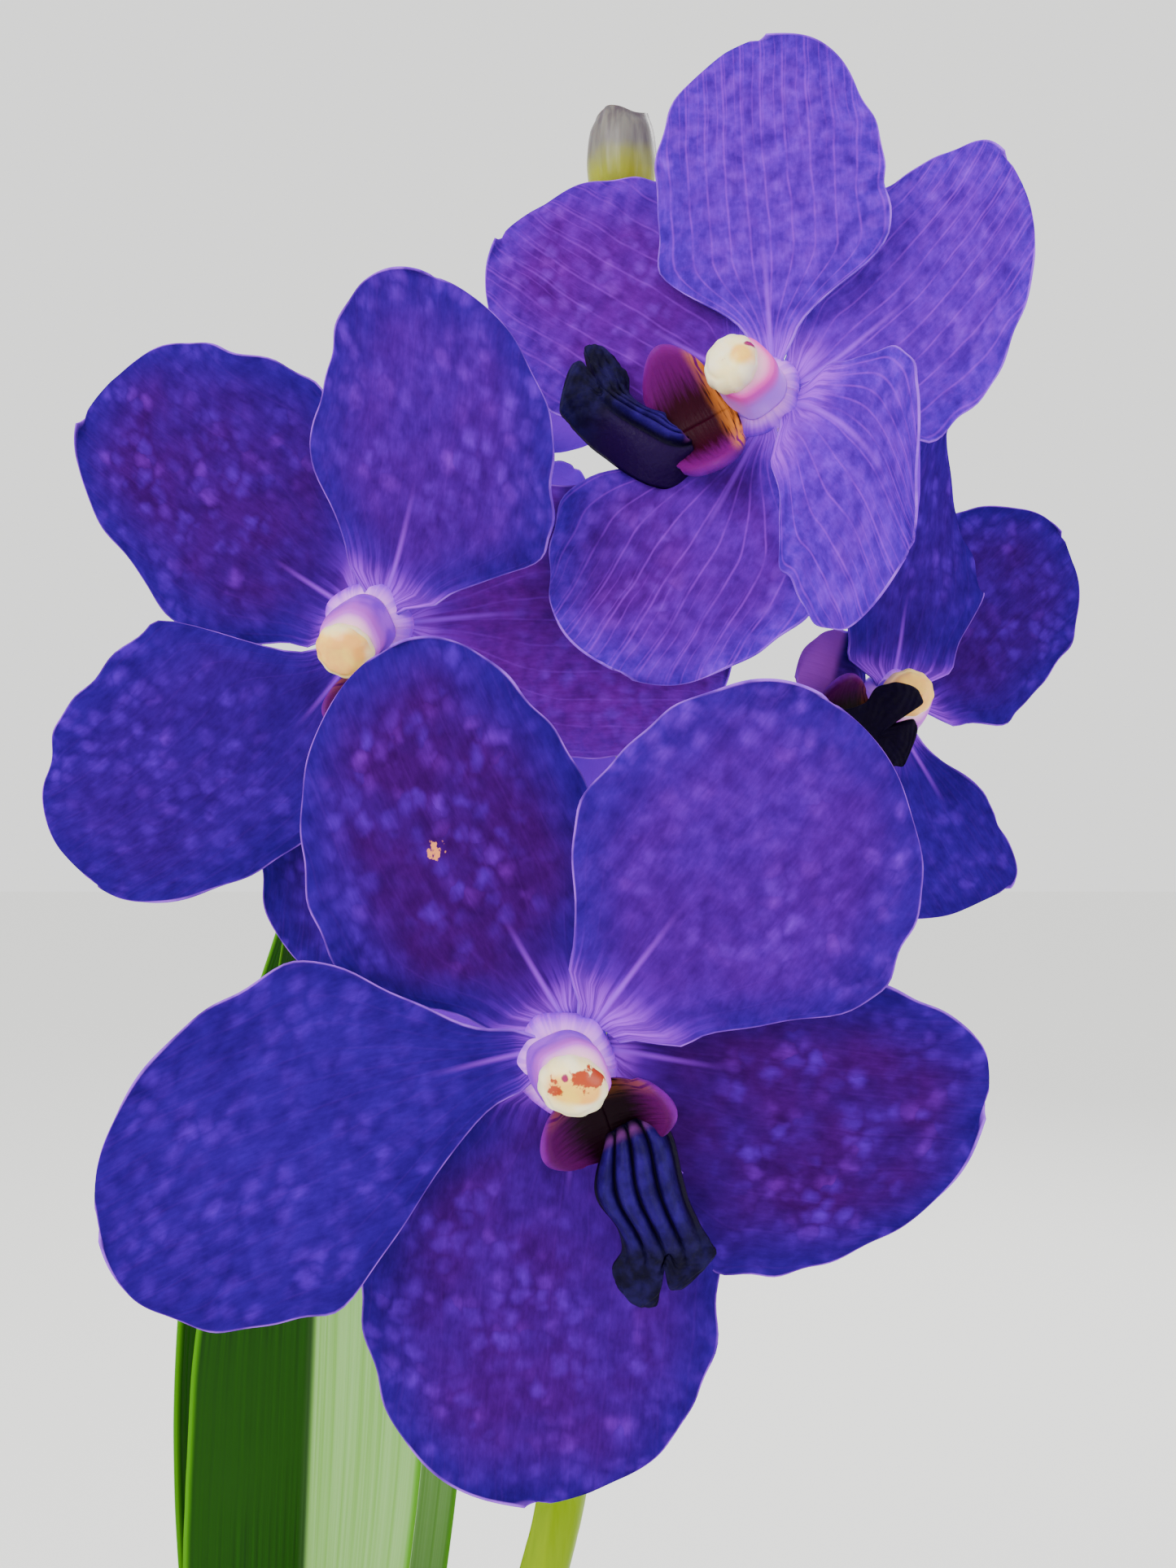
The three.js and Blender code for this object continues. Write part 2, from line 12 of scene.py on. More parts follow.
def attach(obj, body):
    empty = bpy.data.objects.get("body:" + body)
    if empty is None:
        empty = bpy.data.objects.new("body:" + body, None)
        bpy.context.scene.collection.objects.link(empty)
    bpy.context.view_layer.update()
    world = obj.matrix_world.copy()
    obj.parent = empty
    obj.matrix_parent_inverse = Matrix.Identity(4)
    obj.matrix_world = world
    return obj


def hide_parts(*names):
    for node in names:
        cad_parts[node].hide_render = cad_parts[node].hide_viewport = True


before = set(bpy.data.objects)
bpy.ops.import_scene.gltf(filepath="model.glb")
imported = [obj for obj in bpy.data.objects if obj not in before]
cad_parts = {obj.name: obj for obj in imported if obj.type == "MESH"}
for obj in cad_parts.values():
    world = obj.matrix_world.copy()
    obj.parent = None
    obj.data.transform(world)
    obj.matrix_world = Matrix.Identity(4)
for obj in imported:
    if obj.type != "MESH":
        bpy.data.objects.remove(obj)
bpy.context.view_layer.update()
MM = 0.001


# ---- Room ------------------------------------------------------------------------------------------------
# An eye-level view from just in front of the lowest bloom, over a pale floor, in the even light of a white
# room with a large window to the left. The window and the fill are soft panels.

CAMERA_PLACE = (45 * MM, -245 * MM, 430 * MM)
CAMERA_LENS = 35.87
SENSOR_WIDTH = 36
NEAREST = 0.01
ROOM_BRIGHTNESS = 1.5
ROOM_WHITE = (254, 254, 252)
FLOOR_PALE = (244, 244, 242)
FLOOR_HALF = 6.0
PANELS = {
    # name: place, aim, size, watts, colour
    "window": ((-1.1, -1.3, 1.25), (0.02, -0.03, 0.43), 1.1, 34, (1.0, 0.98, 0.95)),
    "fill": ((1.3, -0.7, 0.75), (0.04, -0.02, 0.42), 0.9, 8, (0.95, 0.97, 1.0)),
    "behind": ((0.5, 1.3, 1.2), (0.04, 0.0, 0.42), 1.0, 12, (1.0, 1.0, 1.0)),
}


def srgb(red, green, blue):
    """A colour named by its screen values, as the light it stands for."""
    def light(value):
        share = value / 255
        return share / 12.92 if share <= 0.04045 else ((share + 0.055) / 1.055) ** 2.4
    return (light(red), light(green), light(blue), 1.0)


def new_material(name, **sockets):
    """A Principled material with numbers set on its own sockets. Returns it, its tree and its shader."""
    material = bpy.data.materials.new(name)
    material.use_nodes = True
    tree = material.node_tree
    shader = tree.nodes["Principled BSDF"]
    for socket, value in sockets.items():
        shader.inputs[socket.replace("_", " ")].default_value = value
    return material, tree, shader


def aim(thing, stand, target):
    """Stands a lamp or the camera in the room, turned to its target."""
    thing.location = stand
    thing.rotation_euler = (Vector(target) - Vector(stand)).to_track_quat("-Z", "Y").to_euler()
    bpy.context.scene.collection.objects.link(thing)


camera = bpy.data.objects.new("camera", bpy.data.cameras.new("camera"))
camera.data.lens = CAMERA_LENS
camera.data.sensor_width = SENSOR_WIDTH
camera.data.clip_start = NEAREST
aim(camera, CAMERA_PLACE, (CAMERA_PLACE[0], 0, CAMERA_PLACE[2]))
bpy.context.scene.camera = camera

for panel_name, (stand, target, size, watts, tint) in PANELS.items():
    panel = bpy.data.objects.new(panel_name, bpy.data.lights.new(panel_name, "AREA"))
    panel.data.size = size
    panel.data.energy = watts
    panel.data.color = tint
    aim(panel, stand, target)

world = bpy.data.worlds.new("white room")
world.use_nodes = True
world.node_tree.nodes["Background"].inputs["Color"].default_value = srgb(*ROOM_WHITE)
world.node_tree.nodes["Background"].inputs["Strength"].default_value = ROOM_BRIGHTNESS
bpy.context.scene.world = world

floor_mesh = bpy.data.meshes.new("floor")
floor_corners = [(x * FLOOR_HALF, y * FLOOR_HALF, 0) for x, y in ((-1, -1), (1, -1), (1, 1), (-1, 1))]
floor_mesh.from_pydata(floor_corners, [], [(0, 1, 2, 3)])
floor = bpy.data.objects.new("floor", floor_mesh)
bpy.context.scene.collection.objects.link(floor)
floor_mesh.materials.append(new_material("pale floor", Base_Color=srgb(*FLOOR_PALE), Roughness=0.7)[0])


# ---- Vase ------------------------------------------------------------------------------------------------
# A plain cylinder of clear pressed glass with a thick floor and a fire-polished rim. Its outline is turned
# round the vase's axis.

VASE_HEIGHT = 180 * MM
VASE_RADIUS = 55 * MM
GLASS = 3.5 * MM
VASE_FLOOR = 10 * MM
FOOT_ROUND = 4 * MM
VASE_CENTRE = 2 * MM
WALL_ENDS = 12 * MM
VASE_SEGMENTS = 128


def full_turn(count):
    """Angles evenly round a circle."""
    return np.linspace(0, 2 * math.pi, count, endpoint=False)


def circle(turns, radius, height):
    """Points round the upright axis; radius and height may change with the angle."""
    return np.stack([radius * np.cos(turns), radius * np.sin(turns), height + 0 * turns], axis=1)


def revolve(outline, segments):
    """The rings of an outline of (radius, height) turned round the upright axis."""
    return np.array([circle(full_turn(segments), radius, height) for radius, height in outline])


def arc(middle, radius, start, end, steps):
    """Points of an upright arc in an outline of (radius, height)."""
    turns = np.radians(np.linspace(start, end, steps))
    return [(middle[0] + radius * math.cos(turn), middle[1] + radius * math.sin(turn)) for turn in turns]


def closed_mesh(name, vertices, faces, numbers):
    """A smooth closed mesh, its faces turned outwards. numbers holds {name: one number for each point}."""
    mesh = bpy.data.meshes.new(name)
    mesh.from_pydata(vertices.tolist(), [], [tuple(int(i) for i in face) for face in faces])
    work = bmesh.new()
    work.from_mesh(mesh)
    bmesh.ops.recalc_face_normals(work, faces=work.faces)
    work.to_mesh(mesh)
    work.free()
    mesh.shade_smooth()
    for key, values in numbers.items():
        attribute = mesh.attributes.new(key, "FLOAT", "POINT")
        attribute.data.foreach_set("value", values.astype(np.float32))
    return mesh


def wall_mesh(name, points, **numbers):
    """A closed skin over a grid of points, rows by columns, each end closed by a fan round a hub. Each of
    the numbers is (its values over the grid, its value at the first hub, its value at the last hub)."""
    rows, columns = points.shape[:2]
    index = np.arange(rows * columns).reshape(rows, columns)
    faces = []
    for i in range(rows - 1):
        for j in range(columns):
            k = (j + 1) % columns
            faces.append((index[i, j], index[i, k], index[i + 1, k], index[i + 1, j]))
    vertices = list(points.reshape(-1, 3))
    for row, order in ((0, -1), (rows - 1, 1)):
        hub = len(vertices)
        vertices.append(points[row].mean(axis=0))
        for j in range(columns):
            pair = (index[row, j], index[row, (j + 1) % columns])
            faces.append((hub, *pair[::order]))
    spread = {key: np.append(np.broadcast_to(values, (rows, columns)), hubs)
              for key, (values, *hubs) in numbers.items()}
    return closed_mesh(name, np.array(vertices), faces, spread)


def place(name, mesh, material, slot, *nodes):
    """Puts a finished mesh on the plant in place of its nodes."""
    piece = bpy.data.objects.new(name, mesh)
    bpy.context.scene.collection.objects.link(piece)
    mesh.materials.clear()
    mesh.materials.append(material)
    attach(piece, "root")
    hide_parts(*nodes)


def add_node(tree, kind, inputs=None, **settings):
    """A node in a tree. Each input is a value, or another node's output."""
    node = tree.nodes.new(kind)
    for name, value in settings.items():
        setattr(node, name, value)
    for name, value in (inputs or {}).items():
        socket = node.inputs[name]
        if isinstance(value, bpy.types.NodeSocket):
            tree.links.new(value, socket)
        else:
            socket.default_value = value
    return node


def span(value, low, high, to_low=0.0, to_high=1.0, interpolation="SMOOTHSTEP"):
    """value, eased from low..high to to_low..to_high and held at the ends."""
    return add_node(value.id_data, "ShaderNodeMapRange", {
        "Value": value, "From Min": low, "From Max": high, "To Min": to_low, "To Max": to_high,
    }, interpolation_type=interpolation).outputs["Result"]


def object_place(tree):
    """Where a point lies on its piece, which is also where it lies in the room."""
    return add_node(tree, "ShaderNodeTexCoord").outputs["Object"]


def noise(vector, scale, detail=2.0, roughness=0.5, stretch=None):
    """Soft noise, its vector first stretched by three factors if they are given."""
    tree = vector.id_data
    if stretch is not None:
        vector = add_node(tree, "ShaderNodeMapping", {"Vector": vector, "Scale": stretch}).outputs["Vector"]
    return add_node(tree, "ShaderNodeTexNoise", {
        "Vector": vector, "Scale": scale, "Detail": detail, "Roughness": roughness}).outputs["Fac"]


def finish_shader(shader, color, height, distance, roughness=None, strength=0.6):
    """Joins a material's colour, relief and roughness to its shader."""
    tree = shader.id_data
    tree.links.new(color, shader.inputs["Base Color"])
    bump = add_node(tree, "ShaderNodeBump", {"Height": height, "Strength": strength, "Distance": distance})
    tree.links.new(bump.outputs["Normal"], shader.inputs["Normal"])
    if roughness is not None:
        tree.links.new(roughness, shader.inputs["Roughness"])


def glass_material():
    """Clear, with the faint waves and the breath of green of pressed glass."""
    material, tree, shader = new_material(
        "clear glass", Roughness=0.02, IOR=1.46, Transmission_Weight=1.0, Specular_IOR_Level=0.6)
    wave = noise(object_place(tree), 26.0, 1.0)
    tint = add_node(tree, "ShaderNodeCombineColor", {
        "Red": span(wave, 0.0, 1.0, 0.94, 1.0, "LINEAR"), "Green": 1.0, "Blue": 0.985})
    finish_shader(shader, tint.outputs["Color"], wave, 1.2 * MM, strength=0.35)
    return material


wall_middle = VASE_RADIUS - GLASS / 2
inner_radius = VASE_RADIUS - GLASS
vase_outline = (
    [(VASE_CENTRE, 0.6 * MM), (VASE_RADIUS * 0.6, 0.5 * MM), (VASE_RADIUS * 0.8, 0)]
    + arc((VASE_RADIUS - FOOT_ROUND, FOOT_ROUND), FOOT_ROUND, -90, 0, 8)
    + [(VASE_RADIUS, z) for z in np.linspace(WALL_ENDS, VASE_HEIGHT - WALL_ENDS, 8)]
    + arc((wall_middle, VASE_HEIGHT - GLASS / 2), GLASS / 2, 0, 180, 12)
    + [(inner_radius, z) for z in np.linspace(VASE_HEIGHT - WALL_ENDS, VASE_FLOOR + 10 * MM, 8)]
    + arc((inner_radius - FOOT_ROUND, VASE_FLOOR + FOOT_ROUND), FOOT_ROUND, 0, -90, 8)
    + [(VASE_CENTRE, VASE_FLOOR)]
)
place("vase_wall", wall_mesh("vase_wall", revolve(vase_outline, VASE_SEGMENTS)), glass_material(),
      "vase_glass", "vase")


# ---- Roots -----------------------------------------------------------------------------------------------
# Thick aerial roots, each a thin core in a corky silver-green sleeve, dropping from the crown and settling
# against the glass. Each one is a path that a node tree wraps the sleeve round. Only its end is green.

CROWN_FOOT = 112 * MM
CANE_FOOT = 168 * MM
ROOT_COUNT = 9
ROOT_RADIUS = 2.8 * MM
ROOT_REACH = 44
CROWN_TURNS = 40
CROWN_RIDGES = 7
SOCKETS = {float: "NodeSocketFloat", int: "NodeSocketInt", tuple: "NodeSocketVector",
           type(None): "NodeSocketMaterial"}


def calc(operation, *values):
    """One step of arithmetic, in the tree that its values belong to."""
    tree = next(value.id_data for value in values if isinstance(value, bpy.types.NodeSocket))
    return add_node(tree, "ShaderNodeMath", dict(enumerate(values)), operation=operation).outputs[0]


def times(first, *others):
    """All the values multiplied."""
    for other in others:
        first = calc("MULTIPLY", first, other)
    return first


def plus(first, *others):
    """All the values added."""
    for other in others:
        first = calc("ADD", first, other)
    return first


def scaled(vector, amount):
    """A vector or colour times a number."""
    inputs = {0: vector, "Scale": amount}
    return add_node(vector.id_data, "ShaderNodeVectorMath", inputs, operation="SCALE").outputs[0]


def shifted(vector, step):
    """The sum of two vectors."""
    return add_node(vector.id_data, "ShaderNodeVectorMath", {0: vector, 1: step}, operation="ADD").outputs[0]


def named(tree, name, kind="FLOAT"):
    """A named attribute of the geometry that a tree works on."""
    node = add_node(tree, "GeometryNodeInputNamedAttribute", {"Name": name}, data_type=kind)
    return node.outputs["Attribute"]


def store(geometry, name, value, kind="FLOAT"):
    """The geometry, with a value stored on it under a name."""
    tree = geometry.id_data
    node = add_node(tree, "GeometryNodeStoreNamedAttribute", {"Geometry": geometry, "Name": name},
                    data_type=kind, domain="POINT")
    tree.links.new(value, node.inputs["Value"])
    return node.outputs["Geometry"]


def new_node_tree(name, inputs):
    """A geometry tree with named inputs: {name: value}. The one without a value is its material."""
    tree = bpy.data.node_groups.new(name, "GeometryNodeTree")
    tree.interface.new_socket("Geometry", in_out="INPUT", socket_type="NodeSocketGeometry")
    tree.interface.new_socket("Geometry", in_out="OUTPUT", socket_type="NodeSocketGeometry")
    for title, value in inputs.items():
        socket = tree.interface.new_socket(title, in_out="INPUT", socket_type=SOCKETS[type(value)])
        if value is not None:
            socket.default_value = value
    return tree, tree.nodes.new("NodeGroupInput").outputs


def finish_tree(geometry, material):
    """Ends a geometry tree: shaded smooth, made real, and given its material."""
    tree = geometry.id_data
    for kind, inputs in (("GeometryNodeSetShadeSmooth", {}), ("GeometryNodeRealizeInstances", {}),
                         ("GeometryNodeSetMaterial", {"Material": material})):
        geometry = add_node(tree, kind, {"Geometry": geometry, **inputs}).outputs["Geometry"]
    tree.links.new(geometry, tree.nodes.new("NodeGroupOutput").inputs[0])
    return tree


def stalk_tree():
    """Wraps a round, tapering, ribbed or knobbly stalk round each path."""
    tree, given = new_node_tree("stalk", {
        "Foot radius": 2 * MM, "Tip radius": 2 * MM, "Rounded end": 0.02,
        "Points along": 80, "Points round": 18, "Ribs": 0.0, "Rib depth": 0.0, "Rib twist": 0.0,
        "Knob size": 200.0, "Knob height": 0.0, "Material": None,
    })
    path = add_node(tree, "GeometryNodeMeshToCurve", {"Mesh": given["Geometry"]})
    soft = add_node(tree, "GeometryNodeCurveSplineType", {"Curve": path.outputs["Curve"]},
                    spline_type="CATMULL_ROM")
    even = add_node(tree, "GeometryNodeResampleCurve", {
        "Curve": soft.outputs["Curve"], "Count": given["Points along"]})
    place_along = tree.nodes.new("GeometryNodeSplineParameter").outputs["Factor"]
    marked = store(even.outputs["Curve"], "along", place_along)
    ring = add_node(tree, "GeometryNodeCurvePrimitiveCircle", {
        "Resolution": given["Points round"], "Radius": 1.0})
    marked_ring = store(ring.outputs["Curve"], "around", place_along)
    taper = span(place_along, 0.0, 1.0, given["Foot radius"], given["Tip radius"], "LINEAR")
    round_from = calc("SUBTRACT", 1.0, given["Rounded end"])
    near_end = span(place_along, round_from, 1.0, 0.0, 1.0, "LINEAR")
    closing = calc("SQRT", calc("SUBTRACT", 1.02, calc("POWER", near_end, 2.0)))
    radius = times(taper, calc("MINIMUM", closing, 1.0))
    skin = add_node(tree, "GeometryNodeCurveToMesh", {
        "Curve": marked, "Profile Curve": marked_ring, "Scale": radius, "Fill Caps": True})
    turn = plus(named(tree, "around"), times(named(tree, "along"), given["Rib twist"]))
    wave = calc("COSINE", times(turn, times(given["Ribs"], 2 * math.pi)))
    knob = add_node(tree, "ShaderNodeTexNoise", {"Scale": given["Knob size"], "Detail": 2.0})
    knob_height = times(calc("SUBTRACT", knob.outputs["Fac"], 0.5), given["Knob height"])
    height = calc("MULTIPLY_ADD", wave, given["Rib depth"], knob_height)
    outward = scaled(tree.nodes.new("GeometryNodeInputNormal").outputs["Normal"], height)
    raised = add_node(tree, "GeometryNodeSetPosition", {"Geometry": skin.outputs["Mesh"], "Offset": outward})
    return finish_tree(raised.outputs["Geometry"], given["Material"])


def grow(name, paths, tree, **inputs):
    """Runs a node tree on a mesh of open paths and returns the result as a plain mesh."""
    seed_mesh = bpy.data.meshes.new(name)
    points = []
    edges = []
    for path in paths:
        edges += [(len(points) + i, len(points) + i + 1) for i in range(len(path) - 1)]
        points += [tuple(point) for point in path]
    seed_mesh.from_pydata(points, edges, [])
    seed = bpy.data.objects.new(name, seed_mesh)
    bpy.context.scene.collection.objects.link(seed)
    modifier = seed.modifiers.new("grow", "NODES")
    modifier.node_group = tree
    titles = {item.name: item.identifier for item in tree.interface.items_tree if item.in_out == "INPUT"}
    for title, value in inputs.items():
        modifier[titles[title.replace("_", " ")]] = value
    evaluated = seed.evaluated_get(bpy.context.evaluated_depsgraph_get())
    mesh = bpy.data.meshes.new_from_object(evaluated)
    seed.modifiers.remove(modifier)
    bpy.data.objects.remove(seed)
    mesh.name = name
    return mesh


def wired(tree, *names):
    """Named numbers of the mesh, read in a material: one output, or a list of them."""
    outputs = [add_node(tree, "ShaderNodeAttribute", attribute_name=name).outputs["Fac"] for name in names]
    return outputs if len(outputs) > 1 else outputs[0]


def blend(share, low, high):
    """low where share is 0, high where it is 1. A plain colour is given by its screen values."""
    low, high = [srgb(*color) if isinstance(color, tuple) else color for color in (low, high)]
    inputs = {0: share, 6: low, 7: high}
    return add_node(share.id_data, "ShaderNodeMix", inputs, data_type="RGBA").outputs[2]


def velamen_material():
    """Corky silver with dry streaks, and green skin on the growing ends."""
    material, tree, shader = new_material("velamen", Specular_IOR_Level=0.25)
    here = object_place(tree)
    cloud = noise(here, 90.0, 4.0)
    streak = noise(here, 160.0, 3.0, stretch=(1.0, 1.0, 0.12))
    fine = noise(here, 900.0, 3.0)
    silver = blend(span(cloud, 0.35, 0.7), (124, 134, 96), (190, 192, 172))
    silver = blend(span(streak, 0.55, 0.75, 0.0, 0.5), silver, (142, 120, 84))
    green = blend(span(fine, 0.3, 0.7), (98, 138, 40), (134, 168, 62))
    young = span(wired(tree, "along"), 0.93, 0.965)
    finish_shader(shader, blend(young, silver, green), fine, 0.25 * MM, span(young, 0, 1, 0.85, 0.35))
    return material


def root_path(i):
    """The way of one root, out from the crown, down, and round the inside of the glass."""
    turn = i * 360 / ROOT_COUNT
    start = 128 + 11 * (i % 4)
    reach = ROOT_REACH - 5 * ((i * 2) % 3)
    foot = VASE_FLOOR / MM + 4.8 + 9 * (i % 3)
    stops = [
        # distance from the axis, direction, height
        (1, turn, start + 2), (14, turn + 6, start + 2), (reach - 12, turn + 16, start - 14),
        (reach, turn + 28, start - 44), (reach, turn + 52 + 12 * (i % 2), foot + 26),
        (reach - 4, turn + 92, foot + 4), (reach - 12, turn + 128, foot),
    ]
    return [Matrix.Rotation(math.radians(a), 3, "Z") @ Vector((r, 0, z)) * MM for r, a, z in stops]


stalk = stalk_tree()
velamen = velamen_material()
root_mesh = grow("root_sleeves", [root_path(i) for i in range(ROOT_COUNT)], stalk,
                 Foot_radius=ROOT_RADIUS, Tip_radius=ROOT_RADIUS * 0.85, Points_along=110,
                 Rounded_end=0.02, Knob_size=260.0, Knob_height=0.9 * MM, Material=velamen)
place("root_sleeves", root_mesh, velamen, "root_velamen", "roots")

crown_rings = revolve([
    (0.8 * MM, CROWN_FOOT), (2.6 * MM, 113 * MM), (3.6 * MM, 118 * MM), (5 * MM, 130 * MM),
    (5.8 * MM, 140 * MM), (6.5 * MM, 150 * MM), (6.8 * MM, 160 * MM), (6.6 * MM, 166 * MM),
    (5 * MM, CANE_FOOT - 0.2 * MM),
], CROWN_TURNS)
crown_rings[:, :, :2] *= 1 + 0.05 * np.sin(full_turn(CROWN_TURNS) * CROWN_RIDGES)[None, :, None]
place("root_crown", wall_mesh("root_crown", crown_rings), velamen, "root_velamen", "roots")


# ---- Cane ------------------------------------------------------------------------------------------------
# The short stem, wrapped in the leaf sheaths that clasp it. Old sheaths are dry, ribbed and straw-brown, the
# upper ones still olive. Each sheath ends in a torn edge that stands a little off the next one.

CANE_RADIUS = 7 * MM
CANE_TOP = 234 * MM
SHEATH_STEP = 11 * MM
SHEATH_RIBS = 22
CANE_TURNS = 132
TEAR_SPREAD = 9
SHEATH_OUTLINE = [
    # share of the step up, distance out in millimetres, share of the tear
    (0.0, -0.9, 0.0), (0.1, -0.75, 0.0), (0.5, -0.4, 0.0), (0.85, -0.1, 0.0), (0.97, 0.0, 1.0),
    (0.98, -0.35, 1.0), (0.95, -0.8, 0.4),
]


def cane_rings():
    """Rings up the cane, one sheath after another."""
    rng = np.random.default_rng(4)
    turns = full_turn(CANE_TURNS)
    rings = [circle(turns, 2 * MM, CANE_FOOT)]
    z = CANE_FOOT
    while z < CANE_TOP - 1 * MM:
        rough = np.tile(rng.normal(0, 1, CANE_TURNS), 3)
        tear = np.convolve(rough, np.ones(TEAR_SPREAD) / TEAR_SPREAD, "same")[CANE_TURNS:2 * CANE_TURNS]
        rib = 0.12 * MM * np.cos(turns * SHEATH_RIBS + z * 900)
        for share, out, edge in SHEATH_OUTLINE:
            height = z + SHEATH_STEP * share + edge * tear * 1.2 * MM
            rings.append(circle(turns, CANE_RADIUS + out * MM + rib * (share > 0), height))
        z += SHEATH_STEP
    rings.append(circle(turns, 3 * MM, CANE_TOP))
    return np.array(rings)


def sheath_material():
    """Fibres of dry straw, still olive near the top of the cane."""
    material, tree, shader = new_material("leaf sheath", Specular_IOR_Level=0.3)
    here = object_place(tree)
    height = add_node(tree, "ShaderNodeSeparateXYZ", {0: here}).outputs["Z"]
    fibre = noise(here, 900.0, 3.0, stretch=(1.0, 1.0, 0.06))
    blotch = noise(here, 120.0, 3.0)
    straw = blend(fibre, (104, 78, 42), (186, 162, 104))
    olive = blend(fibre, (96, 110, 40), (150, 162, 74))
    young = span(plus(height, times(blotch, 0.03)), 0.2, 0.235)
    finish_shader(shader, blend(young, straw, olive), fibre, 0.3 * MM, span(blotch, 0.2, 0.8, 0.55, 0.85))
    return material


place("cane_sheaths", wall_mesh("cane_sheaths", cane_rings()), sheath_material(), "cane_sheath", "cane")


# ---- Leaves ----------------------------------------------------------------------------------------------
# Leathery straps in two ranks, folded along the midrib where they clasp the cane and opening outwards, with
# an unequal notch at the tip. Each is a straight or drooping spine that a node tree sets the folded blade on.

LEAF_HALF_WIDTH = 20 * MM
LEAF_THICKNESS = 1.9 * MM
LEAF_POINTS = 90
NOTCH_SHARE = 0.035
UP = Vector((0, 0, 1))
LEAVES = {
    # name: compass direction, height of the foot, rise, length, droop, distances out and aside, sway, turn
    "leaf_back_1": (84, 226, 82, 183, 0, -1, -2.4, 0, 45),
    "leaf_back_2": (113, 214, 73, 215, 6, 5, 0, 24, 0),
    "leaf_back_3": (87, 202, 63, 235, 16, 5, 0, 0, 0),
    "leaf_back_4": (97, 191, 47, 240, 34, 5, 0, 0, 0),
    "leaf_back_5": (99, 181, 33, 225, 42, 5, 0, 0, 0),
    "leaf_front_1": (276, 188, 45, 215, 40, 5, 0, 0, 0),
    "leaf_front_2": (279, 180, 34, 235, 42, 5, 0, 0, 0),
    "leaf_front_3": (274, 172, 24, 215, 36, 5, 0, 0, 0),
}


def combine(tree, x, y, z=0.0):
    """A vector of three numbers."""
    return add_node(tree, "ShaderNodeCombineXYZ", {"X": x, "Y": y, "Z": z}).outputs["Vector"]


def strap_tree():
    """Sets a folded, keeled and notched strap on a spine."""
    tree, given = new_node_tree("strap leaf", {
        "Half width": LEAF_HALF_WIDTH, "Thickness": LEAF_THICKNESS,
        "Fold at foot": math.radians(62), "Fold at tip": math.radians(20), "Turn": 0.0, "Notch": 7 * MM,
        "Across": (1, 0, 0), "Inward": (0, -1, 0), "Forward": (0, 0, 1), "Seed": 0.0, "Material": None,
    })
    spine = add_node(tree, "GeometryNodeMeshToCurve", {"Mesh": given["Geometry"]})
    place_along = tree.nodes.new("GeometryNodeSplineParameter").outputs["Factor"]
    where = tree.nodes.new("GeometryNodeInputPosition").outputs["Position"]
    marked = store(spine.outputs["Curve"], "along", place_along)
    marked = store(marked, "spine", where, "FLOAT_VECTOR")
    section = add_node(tree, "GeometryNodeCurvePrimitiveQuadrilateral", {"Width": 2.0, "Height": 0.1})
    fine_section = add_node(tree, "GeometryNodeResampleCurve", {
        "Curve": section.outputs["Curve"], "Length": 0.042}, mode="LENGTH")
    marked_section = store(fine_section.outputs["Curve"], "section", where, "FLOAT_VECTOR")
    skin = add_node(tree, "GeometryNodeCurveToMesh", {
        "Curve": marked, "Profile Curve": marked_section, "Fill Caps": True})
    along = named(tree, "along")
    parts = add_node(tree, "ShaderNodeSeparateXYZ", {0: named(tree, "section", "FLOAT_VECTOR")}).outputs
    across = parts["X"]
    side = calc("ABSOLUTE", across)

    # how the two halves fold, twist and widen
    fold = span(along, 0.0, 0.6, given["Fold at foot"], given["Fold at tip"])
    turn = times(along, along, given["Turn"])
    lean = calc("SUBTRACT", fold, times(calc("SIGN", across), turn))
    opened = span(along, 0.0, 0.3, 0.5, 1.0)
    narrowed = span(along, 0.6, 1.02, 1.0, 0.5)
    half = times(given["Half width"], times(opened, narrowed))
    sideways = times(across, half, calc("COSINE", lean))

    # thickness, the keel below, and ripples that grow towards the edge
    rippled = noise(combine(tree, times(along, 9.0), across, given["Seed"]), 1.0)
    ripple = times(calc("SUBTRACT", rippled, 0.5), times(side, 2.2 * MM))
    thinning = calc("MULTIPLY_ADD", calc("POWER", side, 3.0), -0.62, 1.0)
    keel = calc("EXPONENT", times(calc("POWER", calc("DIVIDE", across, 0.09), 2.0), -1.0))
    keel_below = calc("MULTIPLY_ADD", times(keel, 0.9), calc("LESS_THAN", parts["Y"], 0.0), 1.0)
    depth = times(parts["Y"], 10.0, times(given["Thickness"], times(thinning, keel_below)))
    lifted = plus(times(side, half, calc("SINE", lean)), plus(depth, ripple))

    # the notch: the middle of the end stands back, one side more than the other
    end_share = plus(times(across, 0.43), calc("SUBTRACT", 1.0, side))
    back = times(calc("POWER", along, 14.0), end_share, given["Notch"], -1.0)
    position = named(tree, "spine", "FLOAT_VECTOR")
    for direction, amount in (("Across", sideways), ("Inward", lifted), ("Forward", back)):
        position = shifted(position, scaled(given[direction], amount))
    shaped = add_node(tree, "GeometryNodeSetPosition", {
        "Geometry": skin.outputs["Mesh"], "Position": position}).outputs["Geometry"]
    return finish_tree(store(shaped, "across", across), given["Material"])


